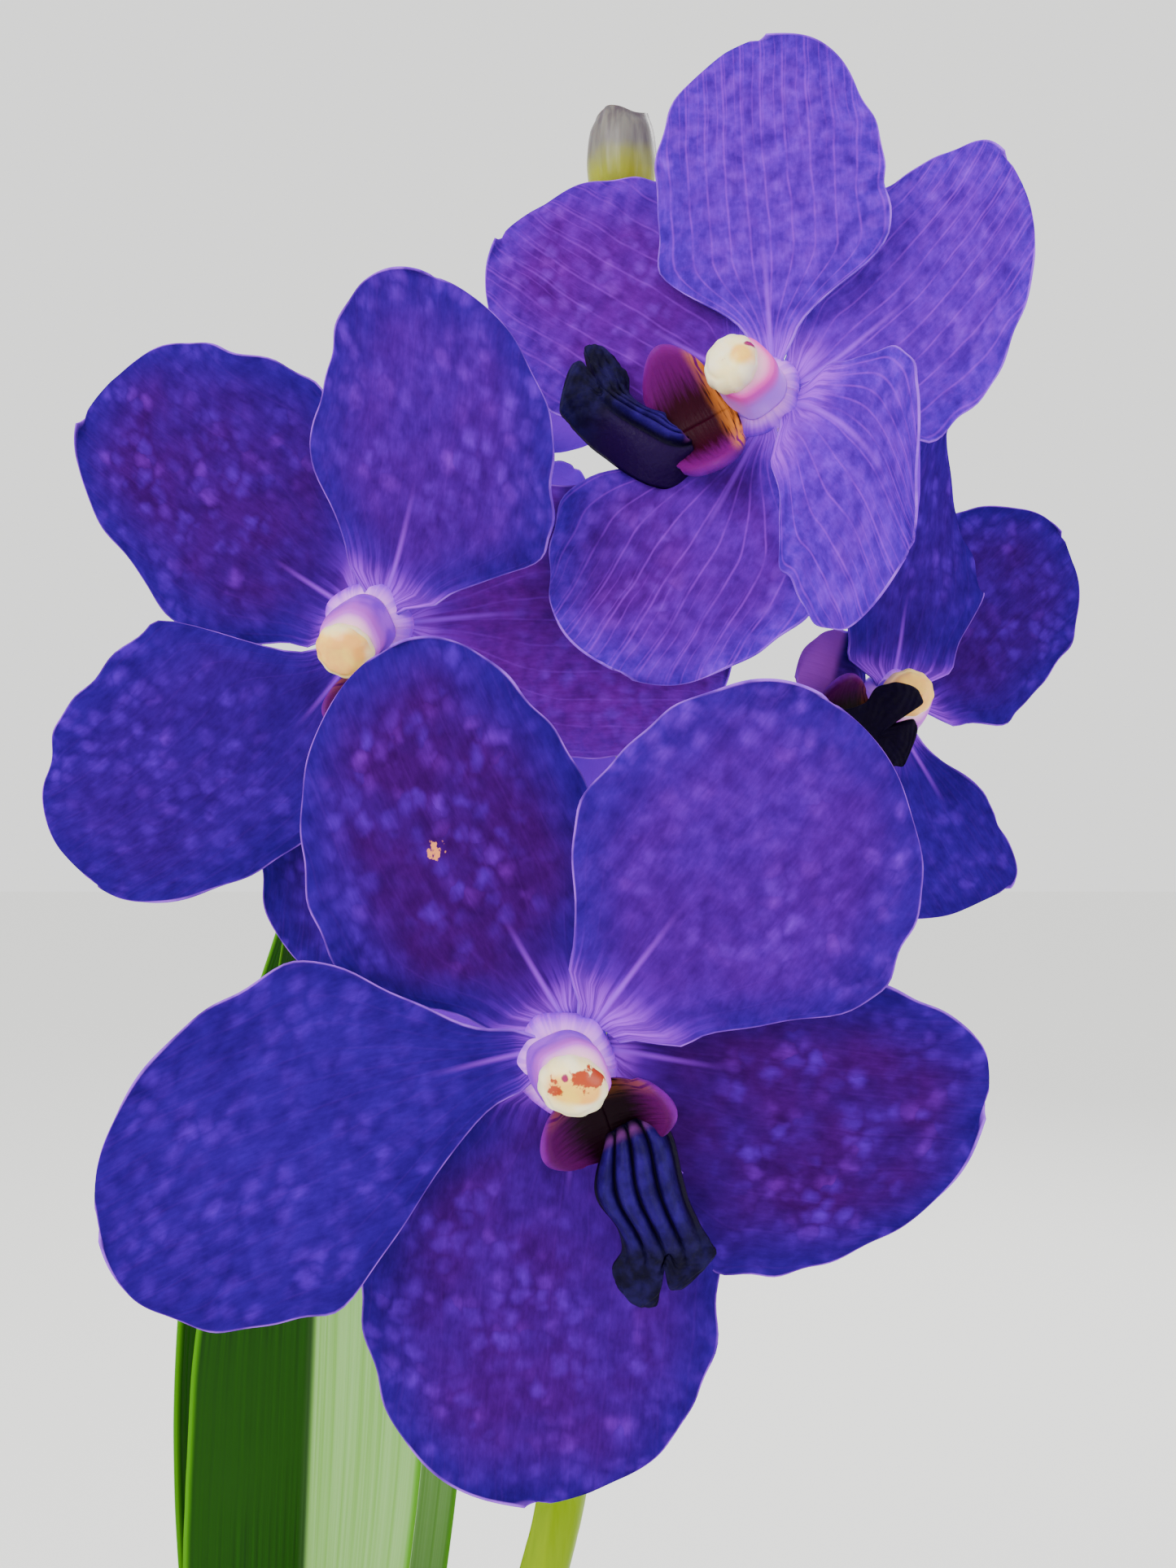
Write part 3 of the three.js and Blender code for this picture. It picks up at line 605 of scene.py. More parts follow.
def leaf_material():
    """Green leather: fine parallel veins, a darker midrib, a bright edge line, one half painted pale as
    painted light and the other painted dark as painted shade.
    """
    material, tree, shader = new_material(
        "strap leaf", Specular_IOR_Level=0.1, Subsurface_Weight=0.05, Subsurface_Scale=1.5 * MM)
    here = object_place(tree)
    along, across = wired(tree, "along", "across")
    side = calc("ABSOLUTE", across)
    vein = noise(combine(tree, times(across, 34.0), times(along, 2.5)), 1.0, 3.0)
    blotch = noise(here, 34.0, 4.0)
    speck = noise(here, 420.0, 2.0)
    # the two halves of the fold: one dark green as painted shade, the other pale as painted light
    shaded_half_green = blend(span(vein, 0.3, 0.7), (12, 52, 1), (22, 74, 1))
    shaded_half_green = blend(span(blotch, 0.35, 0.7), shaded_half_green, (20, 66, 1))
    lit_half_green = blend(span(vein, 0.3, 0.7), (118, 170, 78), (140, 186, 110))
    color = blend(span(across, -0.05, 0.08, 0.0, 0.85), shaded_half_green, lit_half_green)
    color = blend(span(side, 0.0, 0.05, 0.8, 0.0), color, (10, 44, 6))
    color = blend(span(side, 0.93, 0.985, 0.0, 0.9), color, (72, 140, 1))
    color = blend(span(along, 0.96, 1.0, 0.0, 0.7), color, (110, 96, 30))
    height = calc("MULTIPLY_ADD", vein, 0.8, times(speck, 0.25))
    finish_shader(shader, color, height, 0.25 * MM, span(vein, 0.2, 0.8, 0.3, 0.45))
    return material


strap = strap_tree()
leaf_green = leaf_material()
for leaf_seed, (leaf_name, leaf) in enumerate(LEAVES.items()):
    compass, foot, rise, length, droop, out, aside, sway, turn = leaf
    heading = math.radians(compass)
    slope = math.radians(rise)
    away = Vector((math.cos(heading), math.sin(heading), 0))
    across = away.cross(UP)
    inward = UP * math.cos(slope) - away * math.sin(slope)
    forward = away * math.cos(slope) + UP * math.sin(slope)
    spine = []
    for s in np.linspace(0, 1, LEAF_POINTS):
        point = UP * (foot - droop * s * s) + away * out + forward * length * s
        spine.append((point + across * (aside + sway * s ** 3)) * MM)
    blade_mesh = grow(
        f"{leaf_name}_blade", [spine], strap, Turn=math.radians(turn), Notch=NOTCH_SHARE * length * MM,
        Across=across, Inward=inward, Forward=forward, Seed=leaf_seed * 3.7, Material=leaf_green)
    place(f"{leaf_name}_blade", blade_mesh, leaf_green, "leaf_green", leaf_name)


# ---- Flower spike ----------------------------------------------------------------------------------------
# The green spike comes out of the leaves and carries a little bract under each bloom's stalk. The same stalk
# tree wraps the spike; the bracts are pointed scoops pressed against it.

SPIKE_STOPS = [
    (0, -3, 212), (6, -11, 223), (22, -20, 264), (39, -23, 319), (45, -23, 355), (50, -22, 400),
    (52, -19, 450), (51, -16, 500), (50, -15, 513.5),
]
SPIKE_FOOT_RADIUS = 4.4 * MM
SPIKE_TIP_RADIUS = 2 * MM


def stem_material():
    """Yellow-green, streaked lengthways and flushed brown in places."""
    material, tree, shader = new_material(
        "spike", Specular_IOR_Level=0.05, Subsurface_Weight=0.05, Subsurface_Scale=1.5 * MM)
    here = object_place(tree)
    streak = noise(here, 700.0, 3.0, stretch=(1.0, 1.0, 0.08))
    cloud = noise(here, 60.0, 2.0)
    fresh = blend(streak, (92, 122, 1), (132, 158, 1))
    flushed = blend(span(cloud, 0.55, 0.8, 0.0, 0.25), fresh, (90, 60, 30))
    finish_shader(shader, flushed, streak, 0.15 * MM, span(cloud, 0.2, 0.8, 0.35, 0.5))
    return material


stem_green = stem_material()
spike_mesh = grow("spike_stem", [[Vector(stop) * MM for stop in SPIKE_STOPS]], stalk,
                  Foot_radius=SPIKE_FOOT_RADIUS, Tip_radius=SPIKE_TIP_RADIUS, Points_along=220,
                  Points_round=26, Rounded_end=0.006, Ribs=6.0, Rib_depth=0.09 * MM, Rib_twist=0.6,
                  Knob_size=140.0, Knob_height=0.5 * MM, Material=stem_green)
place("spike_stem", spike_mesh, stem_green, "stem_green", "rachis")


# ---- Blooms ----------------------------------------------------------------------------------------------
# Each bloom has three sepals and two petals, all broad, clawed and rounded, round a lip and a column. Sizes
# are in millimetres and degrees in the bloom's own frame: x right, y up, z towards the one who looks at it.


def sepal(angle, length, left, right, bend=0, widest=0.45, rounds=0.45, **more):
    """A blade's direction, length, half widths and outline, and what else sets it apart."""
    usual = dict(lift=-4, level=0, curl=-2, twist=0, fold=0, claw=0.2, purple=0.35, lilac=0, rosy=0)
    return dict(angle=angle, length=length, left=left, right=right, bend=bend, widest=widest, rounds=rounds,
                **{**usual, **more})


def petal(*shape, **more):
    """A petal stands a little in front of the sepals and rises from the heart."""
    return sepal(*shape, **{**dict(lift=6, level=1.2), **more})


def lip_of(angle, tip, knee=(9, 4), foot=9.4, wall=1.0, slim=1.0):
    """The way a lip points, and how its tongue runs from foot over knee to tip."""
    return dict(angle=angle, tip=tip, knee=knee, foot=foot, wall=wall, slim=slim)


def bloom_of(middle, joins, yaw, pitch, lean, lip, tepals, **more):
    """A bloom's place, the point where its stalk joins the spike, the way it faces, and its parts."""
    usual = dict(pale=0.0, callus=0.2, heart=(0.0, 0.0), nod=0.0, ear_out=0.0, ear_size=1.0,
                 flecks=[], dots=[], glow=[])
    return dict(middle=middle, joins=joins, yaw=yaw, pitch=pitch, lean=lean, lip=lip, tepals=tepals,
                **{**usual, **more})


PLAIN_CAP = dict(flecks=[(-0.3, 0.3, 0.25)], dots=[(-0.4, -0.3, 0.15)], glow=[(-0.4, 0.0, 0.4)])
BLOOMS = {
    "front": bloom_of(
        (44, -67, 400.5), (47.5, -22.5, 374), 2, -6, -112, lip_of(-62, (20, -5, 0.7)), [
            sepal(122.5, 46.5, 19.5, 15.5, -5, 0.37, 0.39, claw=0.42, purple=1.0, scar=(0.52, 0.18, 1.1)),
            petal(55, 45, 16, 23.5, claw=0.42, purple=0.6, pale=0.45),
            petal(-173.5, 52, 22, 17, 11, 0.56, 0.53, lift=10, purple=0.0, scar=(0.57, -0.15, 0.45)),
            sepal(-12.5, 46.5, 13, 24, 2.5, claw=0.62, purple=1.0),
            sepal(-94, 53.5, 18.5, 23, 0, 0.38, 0.5, lift=-2, curl=0, claw=0.5, purple=0.8, pale=0.15),
        ],
        heart=(-1.8, -2.2), glow=[(-0.2, -0.3, 0.6), (-0.4, 0.4, 0.45)], dots=[(-0.58, -0.38, 0.14)],
        flecks=[(-0.75, 0.17, 0.33), (-0.8, 0.52, 0.2), (-0.1, -0.5, 0.28)]),
    "left": bloom_of(
        (17.5, -42, 450.5), (51, -21, 420), -14, -10, 250, lip_of(-65, (20, -2, 0.7)), [
            petal(64, 40.5, 15, 19, 8, 0.4, claw=0.4, purple=0.6, pale=0.35),
            sepal(148.5, 48.5, 15.5, 23, -3, 0.41, 0.25, claw=0.5, purple=0.8),
            petal(-128.5, 50, 12, 24, -12, 0.31, 0.46, purple=0.3),
            # this sepal's paleness and rosy tint are partly painted light, lifting it out of the shade of the
            # blades in front
            sepal(4, 47, 17, 20, -5, 0.45, 0.5, lift=-32, curl=0, claw=0.35, purple=1.0, pale=0.7, rosy=0.6),
            sepal(-102, 47.5, 14, 15.5, 1, 0.45, 0.47, lift=-2, purple=0.4),
        ],
        heart=(-1.0, 0.0), glow=[(-0.5, 0.3, 0.6), (-0.1, -0.6, 0.6), (0.2, 0.2, 0.7)]),
    "top": bloom_of(
        (69.5, -40, 481), (52, -18.5, 458), -12, 12, 176,
        lip_of(215, (4.6, -18.5, 0.7), (7, 4), 13, wall=0.2, slim=0.86), [
            petal(95, 47.5, 14, 16.5, -1, 0.35, 0.5, purple=0.1, pale=0.9),
            sepal(32, 42, 15.5, 17.5, 14, 0.25, 0.25, lift=-6, claw=0.5, purple=0.3, pale=0.95),
            petal(-30, 28, 12, 19, -13, 0.5, 0.68, lift=26, twist=12, fold=60, claw=0.5,
                  purple=0.0, pale=1.0),
            sepal(-112, 40, 18.5, 19.5, -3, 0.55, 0.37, lift=8, purple=1.0, pale=0.95),
            sepal(147.5, 46.5, 17.5, 20, -3.5, 0.25, 0.25, purple=1.0, pale=0.8, rosy=0.15),
        ],
        pale=1.0, callus=1.0, ear_out=2.6, ear_size=1.22, heart=(-2.6, 0.2), nod=2.2,
        glow=[(-0.67, -0.05, 0.46)], dots=[(-0.82, -0.48, 0.17)]),
    "right": bloom_of(
        (90.5, -8, 441.5), (50.5, -22, 404), 14, -4, 112, lip_of(204, (-7.5, -1, 11), (5, 4)), [
            sepal(42, 38.5, 18, 16, -1, 0.33, 0.15, claw=0.6, purple=0.7),
            petal(-59, 31.5, 6, 17.5, 3, 0.56, 0.65, lift=2, claw=0.3, purple=0.0),
            petal(84, 40, 15, 15, twist=55, curl=0, claw=0.6, purple=0.3),
            sepal(168, 13.5, 6, 9.5, 0, 0.3, 0.55, lift=10, curl=0, purple=1.3, lilac=0.7),
            sepal(246, 38, 16, 15, purple=0.2),
        ],
        glow=[(-0.3, 0.0, 1.5)]),
    "back": bloom_of(
        (24, 10, 481), (52, -19.5, 446), -150, 45, -90, lip_of(-90, (19, 0, 0.7)), [
            sepal(57, 28, 11, 11), petal(129, 38, 15, 15), petal(-15, 34, 13, 13),
            sepal(-159, 24, 11, 11), sepal(-87, 36, 15, 15),
        ],
        pale=0.4, callus=0.5, **PLAIN_CAP),
    "rear": bloom_of(
        (51, 8, 404), (48.5, -22.5, 386), 180, -2, -90, lip_of(-86, (19, 0, 0.7)), [
            sepal(100, 41, 17, 17), petal(44, 41, 18, 18, 4), petal(162, 41, 18, 18, -4),
            sepal(-16, 38, 17, 17), sepal(-140, 43, 19, 19, 3),
        ],
        pale=0.2, callus=0.5, **PLAIN_CAP),
}


def bloom_matrix(bloom, turn=0):
    """From the bloom's frame, turned about the way it faces, in millimetres, to the plant's."""
    yaw = math.radians(bloom["yaw"])
    pitch = math.radians(bloom["pitch"])
    facing = Vector((math.sin(yaw) * math.cos(pitch), -math.cos(yaw) * math.cos(pitch), math.sin(pitch)))
    right = Vector((math.cos(yaw), math.sin(yaw), 0))
    axes = Matrix((right, facing.cross(right), facing)).transposed().to_4x4()
    stand = Matrix.Translation(Vector(bloom["middle"]) * MM)
    return stand @ axes @ Matrix.Scale(MM, 4) @ Matrix.Rotation(math.radians(turn), 4, "Z")


def moved(points, matrix):
    """An array of points taken through a matrix."""
    grid = np.array(matrix)
    return points @ grid[:3, :3].T + grid[:3, 3]


def place_on_bloom(bloom_name, title, make_mesh, material, slot, part):
    """Places a piece of a bloom for one part of its nodes. make_mesh(name, bloom) gives its mesh."""
    name = f"{bloom_name}_{title}"
    place(name, make_mesh(name, BLOOMS[bloom_name]), material, slot, f"{bloom_name}_{part}")


# ---- Bloom stalks ----------------------------------------------------------------------------------------
# Each bloom's stalk is its seed vessel as well: pale lilac, with six low ribs that wind round it. It bends
# away behind the bloom and runs into the spike just above a bract.

STALK_RADIUS = 1.9 * MM
STALK_RIBS = 6.0
STALK_TWIST = 0.35
BRACT_LENGTH = 7.0
BRACT_RADIUS = 2.3
BRACT_RINGS = 14
BRACT_TURNS = 18


def stalk_material():
    """Lilac along the ribs, greener towards the spike."""
    material, tree, shader = new_material(
        "bloom stalk", Specular_IOR_Level=0.4, Subsurface_Weight=0.2, Subsurface_Scale=1.5 * MM,
        Sheen_Weight=0.2)
    along, around = wired(tree, "along", "around")
    rib = calc("COSINE", times(plus(around, times(along, STALK_TWIST)), STALK_RIBS * 2 * math.pi))
    mottle = noise(object_place(tree), 500.0, 3.0)
    lilac = blend(span(rib, -1.0, 1.0), (150, 70, 190), (225, 150, 230))
    greenish = blend(mottle, (130, 140, 50), (180, 185, 100))
    color = blend(span(along, 0.7, 1.0), lilac, greenish)
    finish_shader(shader, color, mottle, 0.1 * MM, span(mottle, 0.3, 0.7, 0.35, 0.5))
    return material


stalk_lilac = stalk_material()


def stalk_mesh(name, bloom):
    """From the back of the bloom's heart to the spike."""
    to_plant = bloom_matrix(bloom)
    root = to_plant.inverted() @ (Vector(bloom["joins"]) * MM)
    stops = [
        Vector((0, 0, -1.5)), Vector((0, 0, -4)), Vector((root.x * 0.08, root.y * 0.08, -10)),
        Vector((root.x * 0.55, root.y * 0.5, root.z * 0.62)), root,
    ]
    return grow(name, [[to_plant @ stop for stop in stops]], stalk,
                Foot_radius=STALK_RADIUS * 1.25, Tip_radius=STALK_RADIUS * 0.9, Points_along=90,
                Points_round=36, Rounded_end=0.001, Ribs=STALK_RIBS, Rib_depth=0.2 * MM,
                Rib_twist=STALK_TWIST, Knob_size=300.0, Knob_height=0.15 * MM, Material=stalk_lilac)


def bract_mesh(name, bloom):
    """A scoop of thin green skin, broad where it clasps the spike and pointed at its end."""
    foot = Vector(bloom["joins"]) + Vector((0, 0, -6))
    outwards = Vector(bloom["middle"]) - Vector(bloom["joins"])
    outwards = Vector((outwards.x, outwards.y, 0)).normalized()
    sideways = outwards.cross(UP)
    s, turn = np.meshgrid(np.linspace(0, 1, BRACT_RINGS), full_turn(BRACT_TURNS), indexing="ij")
    radius = BRACT_RADIUS * (1 - s ** 1.6) + 0.25
    scoop = np.where(np.sin(turn) > 0, 0.35, 1.0)
    steps = (BRACT_LENGTH * s, radius * np.cos(turn), 2.5 * s + radius * np.sin(turn) * scoop)
    points = sum(step[..., None] * np.array(way) for step, way in zip(steps, (outwards, sideways, UP)))
    return wall_mesh(name, (np.array(foot) + points) * MM)


for bloom_name in BLOOMS:
    place_on_bloom(bloom_name, "stalk", stalk_mesh, stalk_lilac, "tepal_violet", "tepals")
for bloom_name, bloom in BLOOMS.items():
    bract_name = f"{bloom_name}_bract"
    place(bract_name, bract_mesh(bract_name, bloom), stem_green, "stem_green", "rachis")


# ---- Sepals and petals -----------------------------------------------------------------------------------
# Thick, velvety blades of deep blue-violet, marked with paler dots in the meshes of their veins, lilac at the
# claw and along the rim, and paler on the back. Each is a thin closed sheet, waved most at its edge.

TEPAL_THICKNESS = 0.85
RIM_THICKNESS = 0.3
TEPAL_ROOT = 3.0
CLAW_END = 0.08
TIP_POWER = 2.2
TIP_CUT = 0.9985
EDGE_WAVE = 1.5
WAVES = 1.5
RUFFLE = 0.45
PUCKER = 0.30
CHANNEL = 0.9
CUP = 0.9
TEPAL_ROWS = 62
TEPAL_COLUMNS = 46
FAR = 9


def smooth(x):
    """Eases from 0 to 1."""
    inside = np.clip(x, 0, 1)
    return inside * inside * (3 - 2 * inside)


def tepal_opening(tepal, s):
    """The blade's width at s without its rounded end, as a share of its widest."""
    claw = tepal["claw"] * (0.35 + 0.65 * smooth(s / 0.1))
    return claw + (1 - claw) * smooth((s - CLAW_END) / (tepal["widest"] - CLAW_END))


def tepal_ending(tepal, s):
    """How the blade's end is rounded, from 1 down to 0 at the tip."""
    ending = np.clip((s - tepal["rounds"]) / (1 - tepal["rounds"]), 0, 1)
    return (1 - ending ** TIP_POWER) ** (1 / TIP_POWER)


def tepal_surface(tepal, s, t):
    """The blade's middle surface, with s along it from the claw and t across it from -1 to 1."""
    angle = math.radians(tepal["angle"])
    lift = math.radians(tepal["lift"])
    seed = tepal["angle"] / 17
    edge = np.abs(t)
    half = np.where(t > 0, tepal["left"], tepal["right"]) * tepal_opening(tepal, s) * tepal_ending(tepal, s)
    nibble = 0.012 * np.sin(23 * s + seed) + 0.010 * np.sin(41 * s + 2 * seed + np.sign(t))
    side = t * half * (1 + nibble * edge ** 4)
    length = tepal["length"] * s
    phase = WAVES * s + tepal["angle"] / 100 + 0.25 * np.sign(t)
    wave = EDGE_WAVE * np.sin(2 * np.pi * phase) * edge ** 3 * smooth(s / 0.5)
    ruffle = RUFFLE * np.sin(2 * np.pi * (4.2 * s + seed) + t) * edge ** 7 * smooth((s - 0.15) / 0.4)
    pucker = PUCKER * np.sin(0.42 * side + seed) * np.sin(0.33 * length + 2 * seed) * smooth(s / 0.3)
    channel = -CHANNEL * np.exp(-(side / 2.6) ** 2) * (1 - smooth((s - 0.1) / 0.75))
    cup = CUP * edge ** 2 * (1 - smooth(s / 0.35))
    relief = wave + ruffle + pucker + channel + cup
    twist = np.radians(tepal["twist"] + np.where(t > 0, tepal["fold"], 0)) * s
    outward = np.array((math.cos(angle), math.sin(angle), 0))
    across = np.array((-math.sin(angle), math.cos(angle), 0))
    reach = TEPAL_ROOT + length * math.cos(lift)
    shift = tepal["bend"] * s * s + side * np.cos(twist) - relief * np.sin(twist)
    height = tepal["level"] + length * math.sin(lift) + tepal["curl"] * s * s
    height = height + side * np.sin(twist) + relief * np.cos(twist)
    return reach[..., None] * outward + shift[..., None] * across + height[..., None] * np.array((0, 0, 1.0))


def two_faces(middle, thickness, matrix, flip=1):
    """The front and the back of a sheet, half its thickness to either side of its middle surface."""
    normal = np.cross(np.gradient(middle, axis=0), np.gradient(middle, axis=1))
    normal = normal / np.maximum(np.linalg.norm(normal, axis=2, keepdims=True), 1e-9)
    step = flip * normal * thickness[..., None] / 2
    return moved(middle + step, matrix), moved(middle - step, matrix)


def sheet_faces(rows, columns, start):
    """The faces of a thin closed sheet: a front grid, a back grid and the strip round their rim."""
    front = np.arange(rows * columns).reshape(rows, columns) + start
    back = front + rows * columns
    faces = []
    for i in range(rows - 1):
        for j in range(columns - 1):
            faces.append((front[i, j], front[i + 1, j], front[i + 1, j + 1], front[i, j + 1]))
            faces.append((back[i, j], back[i, j + 1], back[i + 1, j + 1], back[i + 1, j]))
    ring = [(0, j) for j in range(columns - 1)] + [(i, columns - 1) for i in range(rows - 1)]
    ring += [(rows - 1, j) for j in range(columns - 1, 0, -1)] + [(i, 0) for i in range(rows - 1, 0, -1)]
    for (i, j), (k, m) in zip(ring, ring[1:] + ring[:1]):
        faces.append((front[i, j], front[k, m], back[k, m], back[i, j]))
    return faces


def sheets_mesh(name, sheets):
    """One mesh of several closed sheets. Each is (front points, back points, {name: numbers}), and the
    number called facing is 1 on the fronts and 0 on the backs."""
    vertices = []
    faces = []
    numbers = {key: [] for key in (*sheets[0][2], "facing")}
    for front, back, fields in sheets:
        rows, columns = front.shape[:2]
        faces += sheet_faces(rows, columns, sum(len(part) for part in vertices))
        vertices += [front.reshape(-1, 3), back.reshape(-1, 3)]
        for key, values in {**fields, "facing": np.array((1.0, 0.0))[:, None, None]}.items():
            numbers[key].append(np.broadcast_to(values, (2, rows, columns)).reshape(-1))
    joined = {key: np.concatenate(values) for key, values in numbers.items()}
    return closed_mesh(name, np.concatenate(vertices), faces, joined)


def tepal_sheet(tepal, matrix, pale):
    """One sepal or petal as a closed sheet, with what its material needs to know."""
    s_line = TIP_CUT * (1 - (1 - np.linspace(0, 1, TEPAL_ROWS)) ** 1.7)
    t_line = np.sin(np.linspace(-1, 1, TEPAL_COLUMNS) * math.pi / 2)
    s, t = np.meshgrid(s_line, t_line, indexing="ij")
    length = tepal["length"]
    opening = np.where(t > 0, tepal["left"], tepal["right"]) * tepal_opening(tepal, s)
    ending = tepal_ending(tepal, s)
    half = opening * ending
    rim = np.minimum((1 - np.abs(t)) * half, (1 - s) * length)
    thickness = RIM_THICKNESS + (TEPAL_THICKNESS - RIM_THICKNESS) * smooth(rim / 2.5)
    scar_s, scar_t, scar_size = tepal.get("scar", (FAR, FAR, 1))
    scar = np.hypot((s - scar_s) * length, (t - scar_t) * half.max()) / scar_size
    return *two_faces(tepal_surface(tepal, s, t), thickness, matrix), {
        "along": s, "fan": t * ending, "open": opening, "rim": rim, "side_mm": t * half,
        "along_mm": s * length, "seed": tepal["angle"] / 10, "purple": tepal["purple"],
        "pale": tepal.get("pale", pale), "rosy": tepal["rosy"], "scar": np.minimum(scar, FAR),
        "lilac": tepal["lilac"] * smooth((s - 0.5) / 0.12),
    }


def tepal_material():
    """Velvet violet: soft paler dots, a fine grain, thin veins, a lilac claw, a pale rim and a paler back,
    with painted light brightening the backs and the blades that lie in shade.
    """
    material, tree, shader = new_material(
        "tepal", Subsurface_Radius=(0.6, 0.25, 1.0), Specular_IOR_Level=0.0, Subsurface_Weight=0.05,
        Subsurface_Scale=1.2 * MM)
    along, fan, opening, rim = wired(tree, "along", "fan", "open", "rim")
    pale, side_mm, along_mm, seed = wired(tree, "pale", "side_mm", "along_mm", "seed")
    flat = combine(tree, side_mm, along_mm, seed)
    rays = combine(tree, times(fan, 7.0), times(along, 2.2), seed)

    # body colour: deep blue at the edges, purple in the middle
    inside = span(rim, 0.0, 9.0)
    cloud = noise(flat, 0.09, 3.0)
    drift = noise(flat, 0.42, 5.0, 0.6)
    purple_share = times(wired(tree, "purple"), inside, span(cloud, 0.3, 0.65, 0.65, 1.1))
    body = blend(purple_share, blend(inside, (35, 1, 106), (40, 1, 115)), (49, 1, 83))
    pale_body = blend(inside, (68, 2, 164), (78, 3, 166))
    pale_body = blend(span(drift, 0.42, 0.66, 0.0, 0.5), pale_body, (110, 16, 200))
    pale_body = blend(span(drift, 0.34, 0.5, 0.45, 0.0), pale_body, (56, 1, 126))
    pale_body = blend(times(purple_share, 0.8), pale_body, (72, 1, 112))
    body = blend(times(pale, calc("MAXIMUM", pale, inside)), body, pale_body)
    # rosy tint: partly the blade's own colour, partly painted light that brightens blades lying in shade
    rosy = times(wired(tree, "rosy"), span(drift, 0.3, 0.6, 0.5, 1.0))
    body = blend(rosy, body, (104, 1, 138))

    # pale dots in the meshes of the net
    warp = add_node(tree, "ShaderNodeTexNoise", {"Vector": flat, "Scale": 0.4, "Detail": 2.0})
    bent = shifted(flat, scaled(warp.outputs["Color"], 2.4))
    net = add_node(tree, "ShaderNodeMapping", {"Vector": bent, "Scale": (1.0, 0.85, 1.0)})
    cell = add_node(tree, "ShaderNodeTexVoronoi", {
        "Vector": net.outputs["Vector"], "Scale": 0.42, "Randomness": 0.85}).outputs
    own = add_node(tree, "ShaderNodeSeparateColor", {"Color": cell["Color"]}).outputs
    dots = times(
        span(cell["Distance"], 0.05, 0.66, 1.0, 0.0),
        span(own["Red"], 0.0, 1.0, 0.5, 1.0, "LINEAR"),
        span(noise(flat, 0.12), 0.38, 0.62, 0.25, 1.0),
        span(along_mm, 7.0, 20.0),
        span(pale, 0.0, 1.0, 0.6, 0.45, "LINEAR"))
    pinkish = times(purple_share, span(own["Green"], 0.5, 0.9, 0.0, 0.45))
    dot_color = blend(pinkish, blend(pale, (82, 4, 180), (132, 42, 220)), (135, 32, 162))
    body = blend(dots, body, dot_color)

    # mottle, and the grain of the velvet, drawn out along the blade
    grain = noise(flat, 2.2, 3.0, 0.6, stretch=(1.0, 0.25, 1.0))
    mottle = noise(flat, 0.5, 4.0, 0.55, stretch=(1.0, 0.7, 1.0))
    shade = times(span(mottle, 0.25, 0.75, 0.72, 1.3, "LINEAR"),
                  span(grain, 0.25, 0.75, 0.85, 1.15, "LINEAR"))
    body = scaled(body, shade)

    # veins fan out from the claw and fork towards the rim
    bend = noise(flat, 0.08)
    main_vein = calc("PINGPONG", plus(times(fan, 5.5), times(bend, 0.5)), 0.5)
    fork_vein = calc("PINGPONG", plus(times(fan, 11.0), times(bend, 1.6)), 0.5)
    main_line = span(times(main_vein, times(opening, 0.18)), 0.0, 0.25, 1.0, 0.0)
    fork_line = times(span(times(fork_vein, times(opening, 0.09)), 0.02, 0.16, 1.0, 0.0),
                      span(along, 0.5, 0.85, 0.0, 0.6))
    lines = times(calc("MAXIMUM", main_line, fork_line), span(noise(flat, 0.3), 0.3, 0.6, 0.3, 1.0))
    body = blend(times(lines, span(pale, 0.5, 1.0, 0.02, 0.4, "LINEAR")), body, (150, 40, 225))

    # lilac claw with streaks and a midrib; they reach further out on the pale bloom
    streak = span(noise(rays, 1.6, 3.0, 0.6), 0.4, 0.62)
    from_foot = calc("DIVIDE", along_mm, calc("MULTIPLY_ADD", pale, 4.0, 8.5))
    claw = times(span(from_foot, 0.1, 1.0, 1.0, 0.0), calc("MULTIPLY_ADD", streak, 0.45, 0.12))
    body = blend(claw, body, (122, 6, 218))
    foot = times(span(from_foot, 0.12, 0.6, 1.0, 0.0), calc("MULTIPLY_ADD", streak, 0.55, 0.25))
    body = blend(foot, body, (178, 62, 246))
    midrib = times(span(calc("ABSOLUTE", side_mm), 0.0, 0.6, 1.0, 0.0), span(from_foot, 0.3, 1.8, 0.7, 0.0))
    body = blend(midrib, body, (158, 52, 242))

    # paler back, partly its own colour and partly painted light for backs in shade such as the rear bloom's,
    # faded lilac parts, pale rim and dry scars
    pale_back_and_fill_light = span(wired(tree, "facing"), 0.0, 1.0, 0.7, 0.0)
    body = blend(pale_back_and_fill_light, body, blend(inside, (112, 4, 215), (140, 20, 235)))
    body = blend(wired(tree, "lilac"), body, (150, 60, 170))
    rim_line = times(span(rim, 0.03, 0.28, 1.0, 0.0), span(noise(flat, 0.2), 0.35, 0.65, 0.15, 0.7))
    body = blend(rim_line, body, (170, 90, 245))
    torn = plus(wired(tree, "scar"), span(noise(flat, 1.5, 3.0), 0.3, 0.7, -0.4, 0.4))
    body = blend(span(torn, 0.7, 1.0, 1.0, 0.0), body, (215, 130, 85))

    height = plus(times(mottle, 0.7), plus(times(lines, 0.2), times(grain, 0.3)))
    finish_shader(shader, body, height, 0.35 * MM, span(mottle, 0.2, 0.8, 0.4, 0.6), 0.45)
    return material


def blades_mesh(name, bloom):
    """The five blades of a bloom."""
    matrix = bloom_matrix(bloom)
    return sheets_mesh(name, [tepal_sheet(tepal, matrix, bloom["pale"]) for tepal in bloom["tepals"]])


velvet = tepal_material()
for bloom_name in BLOOMS:
    tepal_slot = "top_tepal_violet" if bloom_name == "top" else "tepal_violet"
    place_on_bloom(bloom_name, "blades", blades_mesh, velvet, tepal_slot, "tepals")


# ---- Star ------------------------------------------------------------------------------------------------
# The soft raised collar of lilac flesh where the claws meet round the column's foot. Violet streaks run over
# it into the claws.

